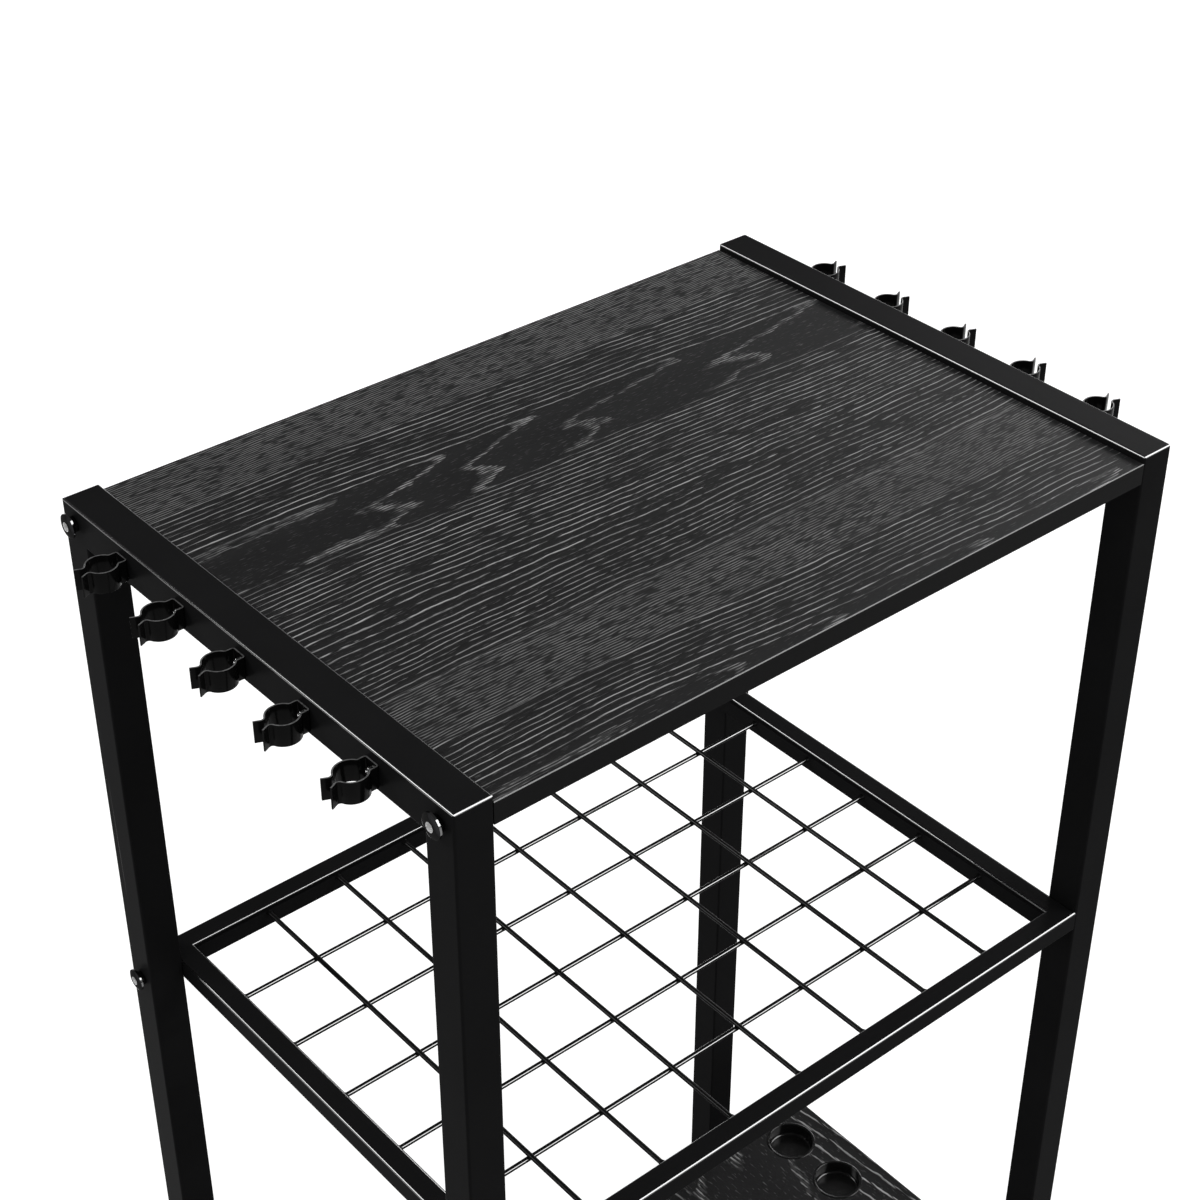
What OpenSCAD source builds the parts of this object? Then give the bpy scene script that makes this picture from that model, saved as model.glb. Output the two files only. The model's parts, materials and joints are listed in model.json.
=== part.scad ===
// Free-standing rod rack. Two end frames of square tube are joined by a top board, a wire mesh shelf and a
// lower board. Spring clips stand along the outsides of the top rails, above rows of cups in the ends of the
// lower board. Millimetres, +Z up, X along the rack, -Y at the front, origin on the floor under the middle.

/* [Overall] */
// Width over the two end frames
frame_w = 550; // [470:1:700]
// Depth over the posts
frame_d = 382; // [350:1:500]
// Height of the frame above the floor
rack_h = 950; // [760:1:1200]
// Clips and cups on each end of the rack
per_side = 5; // [3:1:5]

/* [Frame tube] */
// Side of the square tube of the posts and end rails
tube = 25; // [22:0.5:30]
// Wall of the square tube
tube_wall = 1.2; // [1:0.1:2]
// Outer corner radius of all tubes
tube_round = 1.5; // [1:0.1:2]

/* [Boards] */
// Thickness of the top board
top_board_t = 15; // [13:0.5:18]
// Depth of the top board's face below the top of the frame
top_board_drop = 4.6; // [2:0.1:5]
// Thickness of the lower board
lower_board_t = 15; // [14.5:0.5:20]
// Length of the lower board that stands out of each end frame
overhang = 75; // [70:1:110]
// Gap between the lower board and each post beside it
board_gap = 0.5; // [0.3:0.1:2]
// Chamfer along the edges of both boards
board_edge = 0.5; // [0.3:0.1:1.5]

/* [Mesh shelf] */
// Height of the shelf frame's top face above the floor
shelf_top = 582; // [300:1:700]
// Width of the shelf frame's tube
shelf_rail_w = 15; // [14:0.5:20]
// Height of the shelf frame's tube
shelf_rail_h = 16; // [15:0.5:25]
// Wall of the shelf frame's tube
shelf_wall = 1.2; // [1:0.1:1.6]
// Thickness of the flat strips inside the shelf frame
strip_t = 1.5; // [1:0.1:3]
// Depth of the strips' top edge below the shelf frame's top face
strip_drop = 3.3; // [1:0.1:4]
// Diameter of the mesh wires
wire_d = 3.4; // [2.5:0.1:4.5]
// How far crossing wires sink into each other at their welds
weld_sink = 1.2; // [0.5:0.1:1.4]
// Cells of the mesh along the rack
mesh_cells_x = 8; // [4:1:12]
// Cells of the mesh across the rack
mesh_cells_y = 6; // [3:1:10]

/* [Cups] */
// Distance between cup centres
cup_pitch = 60; // [52:0.5:62]
// Diameter of the cup holes in the lower board
cup_hole_d = 43; // [36:0.5:46]
// Distance of the cup centres outside the end frame
cup_out = 34; // [30:0.5:38]
// Wall of a cup
cup_wall = 1.5; // [1:0.1:2.5]
// Depth inside a cup
cup_depth = 12; // [8:0.5:12.5]
// Radius between a cup's wall and floor
cup_round = 2.6; // [1:0.1:4]
// Width of the cup's lip on the board
cup_lip = 0.8; // [0.5:0.1:3]
// Height of the cup's lip above the board
cup_lip_h = 0.6; // [0.4:0.1:2]

/* [Spring clips] */
// Distance between clip centres
clip_pitch = 61.5; // [50:0.5:68]
// Depth of the clips' middle below the top of the frame
clip_drop = 13.5; // [10:0.5:15]
// Height of the clip strip
clip_h = 14; // [11:0.5:16]
// Thickness of the spring strip
clip_t = 1; // [0.8:0.1:1.4]
// Inside diameter of the clip's loop
clip_bore = 18; // [14:0.5:22]
// Width over the clip's base
clip_base_w = 12; // [10.5:0.5:13]
// Distance from the rail's face to the back of the loop
clip_standoff = 4.6; // [4:0.1:10]
// Opening between the clip's jaws
clip_mouth = 4.7; // [4.4:0.1:7]
// Length of the straight lips
clip_lip = 4; // [2:0.5:8]
// Angle at which the lips open
clip_lip_angle = 25; // [15:1:45]

/* [Fasteners] */
// Diameter of the frame bolts
bolt_d = 6; // [5:0.5:6.5]
// Diameter of the bolts' button heads
bolt_head_d = 14; // [11:0.5:15]
// Height of the bolts' button heads
bolt_head_h = 4.4; // [3.5:0.1:5]
// Size of the hexagon socket across its flats
bolt_key = 5; // [4:0.5:6]
// Diameter of the barrel nuts in the top board
barrel_d = 10; // [9:0.5:12]
// Distance of the barrel nuts from the board's ends
barrel_in = 30; // [20:1:45]
// Diameter of the rivet nuts' bodies
rivet_d = 9; // [8.5:0.5:10]
// Diameter of the clip screws
clip_screw_d = 4; // [3:0.5:4.5]
// Diameter of the clip screws' heads
clip_screw_head_d = 7; // [6:0.5:8]
// Diameter of the lower board's screws
board_screw_d = 4.5; // [3.5:0.5:5]
// Diameter of the lower board's screw heads
board_screw_head_d = 9; // [8:0.5:11]
// Distance between the lower board's screws
board_screw_pitch = 120; // [80:1:140]
// Length of these screws inside the board
board_screw_grip = 11; // [8:0.5:12]

/* [Feet] */
// Height of the end plugs above the floor, feet screwed in
foot_h = 12; // [11:0.5:20]
// Diameter of the foot pads
pad_d = 25; // [22:0.5:40]
// Height of the foot pads
pad_h = 6.5; // [6:0.1:7.5]
// Thread diameter of the foot stems
stem_d = 8; // [6:0.5:9]
// Thread length of the foot stems
stem_l = 30; // [26:1:50]
// Spanner size of the stems' hexagon
stem_hex = 13; // [11.5:0.5:15]
// Thickness of the end plugs' flange
plug_flange = 2; // [1.5:0.1:4]
// Length of the end plugs inside the posts
plug_l = 22; // [18:1:24]
// Diameter of the threaded inserts in the plugs
insert_d = 12; // [11:0.5:14]
// Length of the threaded inserts
insert_l = 14; // [10:0.5:16]

/* [Hidden] */
SIDES = [["left", -1], ["right", 1]];
ENDS = [["front", -1], ["back", 1]];
CORNERS = [for (side = SIDES, end = ENDS) [str(side[0], "_", end[0]), side[1], end[1]]];
function corner_names(what) = [for (c = CORNERS) str(c[0], what)];
function side_names(what) = [for (side = SIDES) str(side[0], what)];
function row_names(what) = [for (side = SIDES, i = [1 : per_side]) str(what, side[0], "_", i)];

// Small clearances: round parts that move, threads in their holes, parts pushed in, screw clearance holes
play = 0.3;
thread_fit = 0.05;
push_fit = 0.1;
hole_fit = 0.3;
// Overrun of a cutting body past the face it cuts
over = 1;

frame_x = frame_w / 2;
frame_y = frame_d / 2;
post_x = frame_x - tube / 2;
post_y = frame_y - tube / 2;
bay_x = frame_x - tube;
bay_y = frame_y - tube;
post_foot = foot_h + plug_flange;

top_board_z = rack_h - top_board_drop - top_board_t;
top_bolt_z = top_board_z + top_board_t / 2;
lower_board_z = post_foot + tube;
lower_board_top = lower_board_z + lower_board_t;
board_x = frame_x + overhang;
board_y = bay_y - board_gap;

shelf_z = shelf_top - shelf_rail_h;
shelf_bolt_z = shelf_z + shelf_rail_h / 2;
strip_x = bay_x - shelf_rail_w;
strip_y = frame_y - shelf_rail_w;
mesh_x = strip_x - strip_t;
mesh_y = strip_y - strip_t;
wire_top = shelf_top - strip_drop;
upper_wire_z = wire_top - wire_d / 2;
lower_wire_z = upper_wire_z - wire_d + weld_sink;

cup_r = cup_hole_d / 2 - push_fit;
cup_inner_r = cup_r - cup_wall;
cup_floor_t = 2;
cup_x = frame_x + cup_out;

clip_z = rack_h - clip_drop;
clip_bend = 1.3;
clip_flare = 1.5;
clip_neck = 2.5;
// Inset of a clip's bends on both faces, the angle by which they run on, and the lip's start inside its bend
bend_inset = 0.03;
bend_lap = 6;
lip_back = 0.2;

bolt_r = bolt_d / 2;
top_bolt_tail = 5;
top_bolt_l = tube + barrel_in + top_bolt_tail;
barrel_skin = 2;
barrel_l = top_board_t - 2 * barrel_skin;
rivet_end_gap = 0.8;
rivet_l = shelf_rail_w - shelf_wall - rivet_end_gap;
rivet_collar = 1;
rivet_collar_l = 3;
shelf_bolt_l = tube + rivet_l - 2;
clip_screw_l = 8;
clip_screw_head_h = 2.2;
board_screw_head_h = 2.6;

// The swivel joint of a foot: a button on the stem turns in a chamber of the pad
button_r = stem_d / 2 + 0.6;
button_h = 2.4;
chamber_floor = 1.7;
neck_r = button_r - 1.4;
stem_hex_z = pad_h + play;
stem_hex_h = foot_h - play - stem_hex_z;

fine = 64;
coarse = 32;

// A rectangle with true round corners, centred on the origin
module round_rect(w, h, r) {
    union() {
        square([w - 2 * r, h], center = true);
        square([w, h - 2 * r], center = true);
        for (x = [-1, 1], y = [-1, 1])
            translate([x * (w / 2 - r), y * (h / 2 - r)]) circle(r = r, $fn = coarse);
    }
}

// Section of a rectangular tube
module tube_section(w, h, wall) {
    difference() {
        round_rect(w, h, tube_round);
        square([w - 2 * wall, h - 2 * wall], center = true);
    }
}

// A tube along X, Y or Z, centred on the origin
module tube_x(l, w, h, wall) {
    rotate([90, 0, 90]) linear_extrude(l, center = true) tube_section(w, h, wall);
}

module tube_y(l, w, h, wall) {
    rotate([90, 0, 0]) linear_extrude(l, center = true) tube_section(w, h, wall);
}

module tube_z(l, w, wall) {
    linear_extrude(l, center = true) tube_section(w, w, wall);
}

// A prism along X from an outline drawn in Y and Z
module prism_x(l) {
    rotate([90, 0, 90]) linear_extrude(l, center = true) children();
}

// A cylinder along X that starts at x = 0 and runs towards +X
module rod_x(r, l) {
    rotate([0, 90, 0]) cylinder(r = r, h = l, $fn = fine);
}

// A flat box with chamfered edges, centred in X and Y, standing on z = 0
module board(l, w, t, edge) {
    function side(half) = [
        [-half, edge], [-half + edge, 0], [half - edge, 0], [half, edge],
        [half, t - edge], [half - edge, t], [-half + edge, t], [-half, t - edge]
    ];
    intersection() {
        rotate([90, 0, 90]) linear_extrude(l + 2, center = true) polygon(side(w / 2));
        rotate([90, 0, 0]) linear_extrude(w + 2, center = true) polygon(side(l / 2));
    }
}

// Places of a row of clips or cups along Y
function row_y(i, pitch) = (i - (per_side + 1) / 2) * pitch;

// Outline of an end frame from the side, its top corners rounded over the mitres
module end_outline() {
    deep = rack_h + 4 * tube_round;
    translate([0, rack_h - deep / 2]) round_rect(frame_d, deep, tube_round);
}

module post(side, end) {
    color("#161616")
    difference() {
        intersection() {
            translate([side * post_x, end * post_y, (post_foot + rack_h) / 2])
                tube_z(rack_h - post_foot, tube, tube_wall);
            translate([side * post_x, 0, 0]) prism_x(tube + 2 * over) intersection() {
                end_outline();
                polygon([
                    [end * (frame_y + over), post_foot], [end * bay_y, post_foot],
                    [end * bay_y, rack_h - tube], [end * (frame_y + over), rack_h + over]
                ]);
            }
        }
        bolt_holes(side, end, top_bolt_z);
        bolt_holes(side, end, shelf_bolt_z);
    }
}

// Clearance for a frame bolt through both walls of a post
module bolt_holes(side, end, z) {
    translate([side * post_x - tube / 2 - over, end * post_y, z]) rod_x(bolt_r + hole_fit, tube + 2 * over);
}

module top_rail(side) {
    color("#161616")
    difference() {
        intersection() {
            translate([side * post_x, 0, rack_h - tube / 2]) tube_y(frame_d, tube, tube, tube_wall);
            translate([side * post_x, 0, 0]) prism_x(tube + 2 * over) intersection() {
                end_outline();
                polygon([
                    [-frame_y - over, rack_h + over], [frame_y + over, rack_h + over],
                    [bay_y, rack_h - tube], [-bay_y, rack_h - tube]
                ]);
            }
        }
        for (end = [-1, 1]) bolt_holes(side, end, top_bolt_z);
        for (i = [1 : per_side])
            translate([side * frame_x, row_y(i, clip_pitch), clip_z])
                mirror([side > 0 ? 1 : 0, 0, 0])
                    translate([-over, 0, 0]) rod_x(clip_screw_d / 2 + thread_fit, tube_wall + 2 * over);
    }
}

module bottom_rail(side) {
    color("#161616")
    difference() {
        translate([side * post_x, 0, post_foot + tube / 2]) tube_y(2 * bay_y, tube, tube, tube_wall);
        at_board_screws(side)
            translate([0, 0, -over]) cylinder(r = board_screw_d / 2 + hole_fit, h = tube + 2 * over, $fn = coarse);
    }
}

// Places of the screws under one end of the lower board, at the bottom of the rail
module at_board_screws(side) {
    for (i = [-1 : 1]) translate([side * post_x, i * board_screw_pitch, post_foot]) children();
}

module top_board() {
    color("#2a2a2c")
    difference() {
        translate([0, 0, top_board_z]) board(2 * bay_x, frame_d, top_board_t, board_edge);
        for (side = [-1, 1], end = [-1, 1]) mirror([side > 0 ? 1 : 0, 0, 0]) translate([-bay_x, end * post_y, 0]) {
            translate([-over, 0, top_bolt_z]) rod_x(bolt_r + hole_fit, over + barrel_in + top_bolt_tail + 3);
            translate([barrel_in, 0, top_board_z - over])
                cylinder(r = barrel_d / 2 + push_fit, h = over + top_board_t - barrel_skin, $fn = fine);
        }
    }
}

module bottom_board() {
    color("#222224")
    difference() {
        translate([0, 0, lower_board_z]) board(2 * board_x, 2 * board_y, lower_board_t, board_edge);
        for (side = [-1, 1], i = [1 : per_side])
            translate([side * cup_x, row_y(i, cup_pitch), lower_board_z - over])
                cylinder(d = cup_hole_d, h = lower_board_t + 2 * over, $fn = fine);
        for (side = [-1, 1]) at_board_screws(side)
            translate([0, 0, tube - over])
                cylinder(r = board_screw_d / 2 + thread_fit, h = over + board_screw_grip + 0.5, $fn = coarse);
    }
}

// Shelf frame: four tubes mitred at 45 degrees in plan
module shelf_long_rail(end) {
    color("#161616")
    translate([0, end * (frame_y - shelf_rail_w / 2), shelf_z + shelf_rail_h / 2])
        intersection() {
            tube_x(2 * bay_x, shelf_rail_w, shelf_rail_h, shelf_wall);
            mitre_prism(bay_x, end);
        }
}

module shelf_end_rail(side) {
    color("#161616")
    difference() {
        translate([side * (bay_x - shelf_rail_w / 2), 0, shelf_z + shelf_rail_h / 2])
            intersection() {
                tube_y(frame_d, shelf_rail_w, shelf_rail_h, shelf_wall);
                rotate(90) mitre_prism(frame_y, -side);
            }
        for (end = [-1, 1]) translate([side * (bay_x - shelf_wall / 2), end * post_y, shelf_bolt_z])
            translate([-shelf_wall / 2 - over, 0, 0])
                rod_x(rivet_d / 2 + thread_fit, shelf_wall + 2 * over);
    }
}

// A trapezium in plan: full length on its outer edge and mitred towards its inner edge
module mitre_prism(half, outward) {
    reach = shelf_rail_w / 2;
    linear_extrude(shelf_rail_h + 2 * over, center = true) polygon([
        [-half - over, outward * (reach + over)], [half + over, outward * (reach + over)],
        [half - 2 * reach - over, -outward * (reach + over)], [-half + 2 * reach + over, -outward * (reach + over)]
    ]);
}

module shelf_long_strip(end) {
    color("#161616")
    translate([-strip_x, end > 0 ? mesh_y : -strip_y, shelf_z])
        cube([2 * strip_x, strip_t, shelf_rail_h - strip_drop]);
}

module shelf_end_strip(side) {
    color("#161616")
    translate([side > 0 ? mesh_x : -strip_x, -mesh_y, shelf_z])
        cube([strip_t, 2 * mesh_y, shelf_rail_h - strip_drop]);
}

module shelf_mesh() {
    cell_x = 2 * mesh_x / mesh_cells_x;
    cell_y = 2 * mesh_y / mesh_cells_y;
    color("#1c1c1c") union() {
        for (i = [1 : mesh_cells_x - 1]) translate([-mesh_x + i * cell_x, 0, upper_wire_z])
            rotate([90, 0, 0]) cylinder(d = wire_d, h = 2 * mesh_y, center = true, $fn = coarse);
        for (i = [1 : mesh_cells_y - 1]) translate([-mesh_x, -mesh_y + i * cell_y, lower_wire_z])
            rod_x(wire_d / 2, 2 * mesh_x);
    }
}

// A cup turned about its axis: lip, wall, rounded floor corner and floor
module rod_cup(side, i) {
    floor_z = -cup_depth;
    lip_r = cup_hole_d / 2 + cup_lip;
    mouth = cup_lip_h;
    corner = [for (a = [0 : 15 : 90]) [
        cup_inner_r - cup_round + cup_round * cos(a),
        floor_z + cup_round - cup_round * sin(a)
    ]];
    edge = [for (a = [0 : 22.5 : 90]) [
        cup_inner_r + mouth - mouth * cos(a),
        cup_lip_h - mouth + mouth * sin(a)
    ]];
    rim = [for (a = [90 : -22.5 : 0]) [
        lip_r - cup_lip_h + cup_lip_h * cos(a),
        cup_lip_h * sin(a)
    ]];
    outside = [[cup_r, 0], [cup_r, floor_z - cup_floor_t + 1], [cup_r - 1, floor_z - cup_floor_t]];
    floor_line = [[0, floor_z - cup_floor_t], [0, floor_z]];
    color("#0c0c0c")
    translate([side * cup_x, row_y(i, cup_pitch), lower_board_top])
        rotate_extrude($fn = fine)
            polygon(concat(floor_line, [for (k = [len(corner) - 1 : -1 : 0]) corner[k]], edge, rim, outside));
}

// A bend of the spring strip: part of a ring about the origin, from one angle to another, under half a turn.
// An inset bend is a little thinner on both faces and runs on into the pieces at its two ends.
module bend(r, from, to, inset = 0) {
    reach = r + clip_t;
    run_on = inset > 0 ? bend_lap : 0;
    intersection() {
        difference() {
            circle(r = r + clip_t / 2 - inset, $fn = fine);
            circle(r = r - clip_t / 2 + inset, $fn = fine);
        }
        rotate(from - run_on) translate([-reach, 0]) square([2 * reach, reach]);
        rotate(to + run_on) translate([-reach, -reach]) square([2 * reach, reach]);
    }
}

// One half of the clip's section: base, leg, flare, loop, neck and lip, tangent to each other.
// x runs out from the rail and y along it. Radii are those of the strip's middle line.
module clip_half() {
    mid = clip_t / 2;
    leg_y = clip_base_w / 2 - mid;
    loop_r = clip_bore / 2 + mid;
    loop_x = clip_standoff + clip_bore / 2;
    flare_y = leg_y + clip_flare;
    flare_a = 180 - asin(flare_y / (loop_r + clip_flare));
    flare_x = loop_x + (loop_r + clip_flare) * cos(flare_a);
    neck_a = asin((clip_mouth / 2 + mid + clip_neck) / (loop_r + clip_neck));
    lip_t = clip_t - 4 * bend_inset;
    translate([0, -over]) square([clip_t, leg_y - clip_bend + over]);
    translate([mid + clip_bend, leg_y - clip_bend]) bend(clip_bend, 90, 180);
    translate([mid + clip_bend, leg_y - mid]) square([flare_x - mid - clip_bend, clip_t]);
    translate([flare_x, flare_y]) bend(clip_flare, 270, flare_a + 180, bend_inset);
    translate([loop_x, 0]) {
        bend(loop_r, neck_a, flare_a);
        rotate(neck_a) translate([loop_r + clip_neck, 0]) rotate(clip_lip_angle - neck_a) {
            bend(clip_neck, 180 - clip_lip_angle + neck_a, 270, bend_inset);
            translate([-lip_back, -clip_neck - lip_t / 2]) square([clip_lip + lip_back, lip_t]);
        }
    }
}

module rod_clip(side, i) {
    color("#0a0a0a")
    translate([side * frame_x, row_y(i, clip_pitch), clip_z])
        mirror([side < 0 ? 1 : 0, 0, 0])
            difference() {
                linear_extrude(clip_h, center = true) {
                    clip_half();
                    mirror([0, 1]) clip_half();
                }
                translate([-over, 0, 0]) rod_x(clip_screw_d / 2 + hole_fit, clip_t + 2 * over);
            }
}

// A round head on z = 0: part of a ball with a flat on top
module dome_head(d, h) {
    crown = h * 1.06;
    ball = (d * d / 4 + crown * crown) / (2 * crown);
    intersection() {
        translate([0, 0, crown - ball]) sphere(r = ball, $fn = fine);
        cylinder(r = d, h = h, $fn = fine);
    }
}

module clip_screws() {
    color("#cfcfcf")
    for (side = [-1, 1], i = [1 : per_side])
        translate([side * frame_x, row_y(i, clip_pitch), clip_z])
            rotate([0, side * 90, 0]) {
                translate([0, 0, clip_t]) dome_head(clip_screw_head_d, clip_screw_head_h);
                translate([0, 0, clip_t - clip_screw_l]) cylinder(d = clip_screw_d, h = clip_screw_l, $fn = coarse);
            }
}

// A frame bolt whose head rests on z = 0, its shank towards -Z
module button_bolt(l) {
    difference() {
        union() {
            dome_head(bolt_head_d, bolt_head_h);
            translate([0, 0, -l]) cylinder(r = bolt_r, h = l, $fn = fine);
        }
        translate([0, 0, bolt_head_h * 0.35]) cylinder(r = bolt_key / 2 / cos(30), h = bolt_head_h, $fn = 6);
    }
}

module frame_bolts(z, l) {
    for (side = [-1, 1], end = [-1, 1])
        translate([side * frame_x, end * post_y, z]) rotate([0, side * 90, 0]) button_bolt(l);
}

module top_bolts() {
    color("#5a5a5a") frame_bolts(top_bolt_z, top_bolt_l);
}

module shelf_bolts() {
    color("#5a5a5a") frame_bolts(shelf_bolt_z, shelf_bolt_l);
}

module barrel_nuts() {
    color("#b8b8b8")
    for (side = [-1, 1], end = [-1, 1])
        translate([side * (bay_x - barrel_in), end * post_y, top_bolt_z])
            difference() {
                cylinder(d = barrel_d, h = barrel_l, center = true, $fn = fine);
                translate([-barrel_d, 0, 0]) rod_x(bolt_r + thread_fit, 2 * barrel_d);
            }
}

// Rivet nuts: a threaded body with the collar that its setting raises behind the tube wall
module rivet_nuts() {
    body_r = rivet_d / 2;
    bore_r = bolt_r + thread_fit;
    color("#b8b8b8")
    for (side = [-1, 1], end = [-1, 1])
        translate([side * bay_x, end * post_y, shelf_bolt_z]) rotate([0, -side * 90, 0])
            rotate_extrude($fn = fine) polygon([
                [bore_r, 0], [body_r, 0], [body_r, shelf_wall], [body_r + rivet_collar, shelf_wall + push_fit],
                [body_r + rivet_collar, shelf_wall + rivet_collar_l / 2], [body_r, shelf_wall + rivet_collar_l],
                [body_r, rivet_l], [bore_r, rivet_l]
            ]);
}

module board_screws() {
    color("#b8b8b8")
    for (side = [-1, 1]) at_board_screws(side) {
        mirror([0, 0, 1]) dome_head(board_screw_head_d, board_screw_head_h);
        cylinder(d = board_screw_d, h = tube + board_screw_grip, $fn = coarse);
    }
}

// End plug: flange, core with three fins that grip the tube, and a stepped bore for the insert and stem
module plug(side, end) {
    fin = tube - 2 * tube_wall - 2 * push_fit;
    core = fin - 3;
    fin_t = 1.4;
    fins = 3;
    stem_hole = stem_d / 2 + hole_fit;
    color("#101010")
    translate([side * post_x, end * post_y, foot_h])
        difference() {
            union() {
                linear_extrude(plug_flange) round_rect(tube, tube, tube_round);
                translate([0, 0, plug_flange]) linear_extrude(plug_l) square(core, center = true);
                for (k = [1 : fins]) translate([0, 0, plug_flange + k * plug_l / fins - 2 * fin_t])
                    linear_extrude(fin_t) square(fin, center = true);
            }
            translate([0, 0, -over]) cylinder(r = stem_hole, h = plug_l + plug_flange + 2 * over, $fn = fine);
            translate([0, 0, plug_flange]) cylinder(d = insert_d + 2 * thread_fit, h = insert_l, $fn = fine);
        }
}

module threaded_inserts() {
    color("#b8a060")
    for (c = CORNERS) translate([c[1] * post_x, c[2] * post_y, post_foot])
        difference() {
            cylinder(d = insert_d, h = insert_l, $fn = fine);
            translate([0, 0, -over]) cylinder(r = stem_d / 2 + thread_fit, h = insert_l + 2 * over, $fn = fine);
        }
}

module stem(side, end) {
    color("#b8b8b8")
    translate([side * post_x, end * post_y, 0]) {
        translate([0, 0, chamber_floor + play]) cylinder(r = button_r, h = button_h, $fn = fine);
        translate([0, 0, chamber_floor + play]) cylinder(r = neck_r, h = stem_hex_z - chamber_floor, $fn = fine);
        translate([0, 0, stem_hex_z]) cylinder(r = stem_hex / 2 / cos(30), h = stem_hex_h, $fn = 6);
        translate([0, 0, stem_hex_z]) cylinder(d = stem_d, h = stem_hex_h + stem_l, $fn = fine);
    }
}

// Foot pad, turned about its axis, with the chamber that keeps the stem's button
module pad(side, end) {
    foot_r = pad_d / 2;
    top_r = foot_r * 0.68;
    skirt = 2.2;
    chamber_r = button_r + play;
    mouth_r = neck_r + 2 * thread_fit;
    chamber_top = chamber_floor + 2 * play + button_h;
    color("#101010")
    translate([side * post_x, end * post_y, 0])
        rotate_extrude($fn = fine) polygon([
            [0, 0], [foot_r - 0.8, 0], [foot_r, 0.8], [foot_r, skirt], [foot_r - 1, skirt + 1],
            [top_r + 1, pad_h - 0.6], [top_r, pad_h], [mouth_r, pad_h], [mouth_r, chamber_top],
            [chamber_r, chamber_top], [chamber_r, chamber_floor], [0, chamber_floor]
        ]);
}

for (c = CORNERS) {
    post(c[1], c[2]);
    plug(c[1], c[2]);
    stem(c[1], c[2]);
    pad(c[1], c[2]);
}
for (side = SIDES) {
    top_rail(side[1]);
    bottom_rail(side[1]);
    shelf_end_rail(side[1]);
    shelf_end_strip(side[1]);
    for (i = [1 : per_side]) {
        rod_clip(side[1], i);
        rod_cup(side[1], i);
    }
}
for (end = ENDS) {
    shelf_long_rail(end[1]);
    shelf_long_strip(end[1]);
}
top_board();
bottom_board();
shelf_mesh();
clip_screws();
top_bolts();
shelf_bolts();
barrel_nuts();
rivet_nuts();
board_screws();
threaded_inserts();
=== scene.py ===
import json
import math

import bmesh
import bpy
from bpy.props import FloatProperty, FloatVectorProperty, IntProperty, PointerProperty
from mathutils import Matrix, Vector


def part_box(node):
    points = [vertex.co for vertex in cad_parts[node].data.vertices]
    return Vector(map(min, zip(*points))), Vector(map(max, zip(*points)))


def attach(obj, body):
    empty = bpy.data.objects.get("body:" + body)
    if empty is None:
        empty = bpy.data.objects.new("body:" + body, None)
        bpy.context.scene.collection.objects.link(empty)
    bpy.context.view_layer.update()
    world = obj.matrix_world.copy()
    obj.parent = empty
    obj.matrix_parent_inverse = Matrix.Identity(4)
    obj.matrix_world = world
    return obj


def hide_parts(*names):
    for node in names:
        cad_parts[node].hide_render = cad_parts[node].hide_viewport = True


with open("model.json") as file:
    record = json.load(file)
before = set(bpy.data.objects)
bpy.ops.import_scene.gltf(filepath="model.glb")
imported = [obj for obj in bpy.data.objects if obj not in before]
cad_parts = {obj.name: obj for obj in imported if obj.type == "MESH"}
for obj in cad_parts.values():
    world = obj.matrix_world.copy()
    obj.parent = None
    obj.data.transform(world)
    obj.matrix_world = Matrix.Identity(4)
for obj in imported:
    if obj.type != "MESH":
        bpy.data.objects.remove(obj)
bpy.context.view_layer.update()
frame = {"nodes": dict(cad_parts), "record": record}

bl_info = {
    "name": "Rod rack",
    "version": (1, 0, 0),
    "blender": (4, 5, 0),
    "location": "3D View > Sidebar > Rod rack",
    "description": "Dresses the rod rack: boards, tubes, mesh shelf, clips, cups, fasteners and feet",
    "category": "Object",
}

SIDES = ("left", "right")
ENDS = ("front", "back")
CORNERS = tuple(f"{side}_{end}" for side in SIDES for end in ENDS)
NODES = frame["nodes"]


# Places that the frame gives

def numbered(start):
    """The frame's nodes whose names start with these words, such as the clips of one side, in order."""
    return sorted(name for name in NODES if name.startswith(start))


def middle(node):
    """The middle of a node's box."""
    lo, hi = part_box(node)
    return (lo + hi) / 2


def row_pitch(start):
    """Distance between neighbours of a row along Y."""
    places = sorted(middle(name).y for name in numbered(start))
    return (places[-1] - places[0]) / (len(places) - 1)


FRAME_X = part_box("right_top_rail")[1].x
POST_X = middle("right_front_post").x
POST_Y = middle("right_back_post").y
BOARD_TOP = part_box("top_board")[1].z
LOWER_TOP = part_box("bottom_board")[1].z
CLIP_Z = middle("rod_clip_right_1").z
CUP_X = middle("rod_cup_right_1").x
TOP_BOLT_Z = middle("top_bolts").z
SHELF_BOLT_Z = middle("shelf_bolts").z
# Where the painted glint inside a frame bolt's socket goes: round its axis within this radius, and this far
# out from the rail
SOCKET_RADIUS = 0.003
SOCKET_START = 0.002


# Sizes and colours that a user would change

def colour_field(name, description, *shades):
    """A setting for a colour, from its red, green and blue or from one shade of grey."""
    return FloatVectorProperty(
        name=name, description=description, subtype="COLOR", size=3, min=0, max=1,
        default=shades if len(shades) == 3 else shades * 3)


def length_field(name, description, default):
    """A setting for a length in metres."""
    return FloatProperty(name=name, description=description, unit="LENGTH", min=0, default=default)


def power_field(name, description, default):
    """A setting for a lamp's power in watts."""
    return FloatProperty(name=name, description=description, unit="POWER", min=0, default=default)


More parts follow.
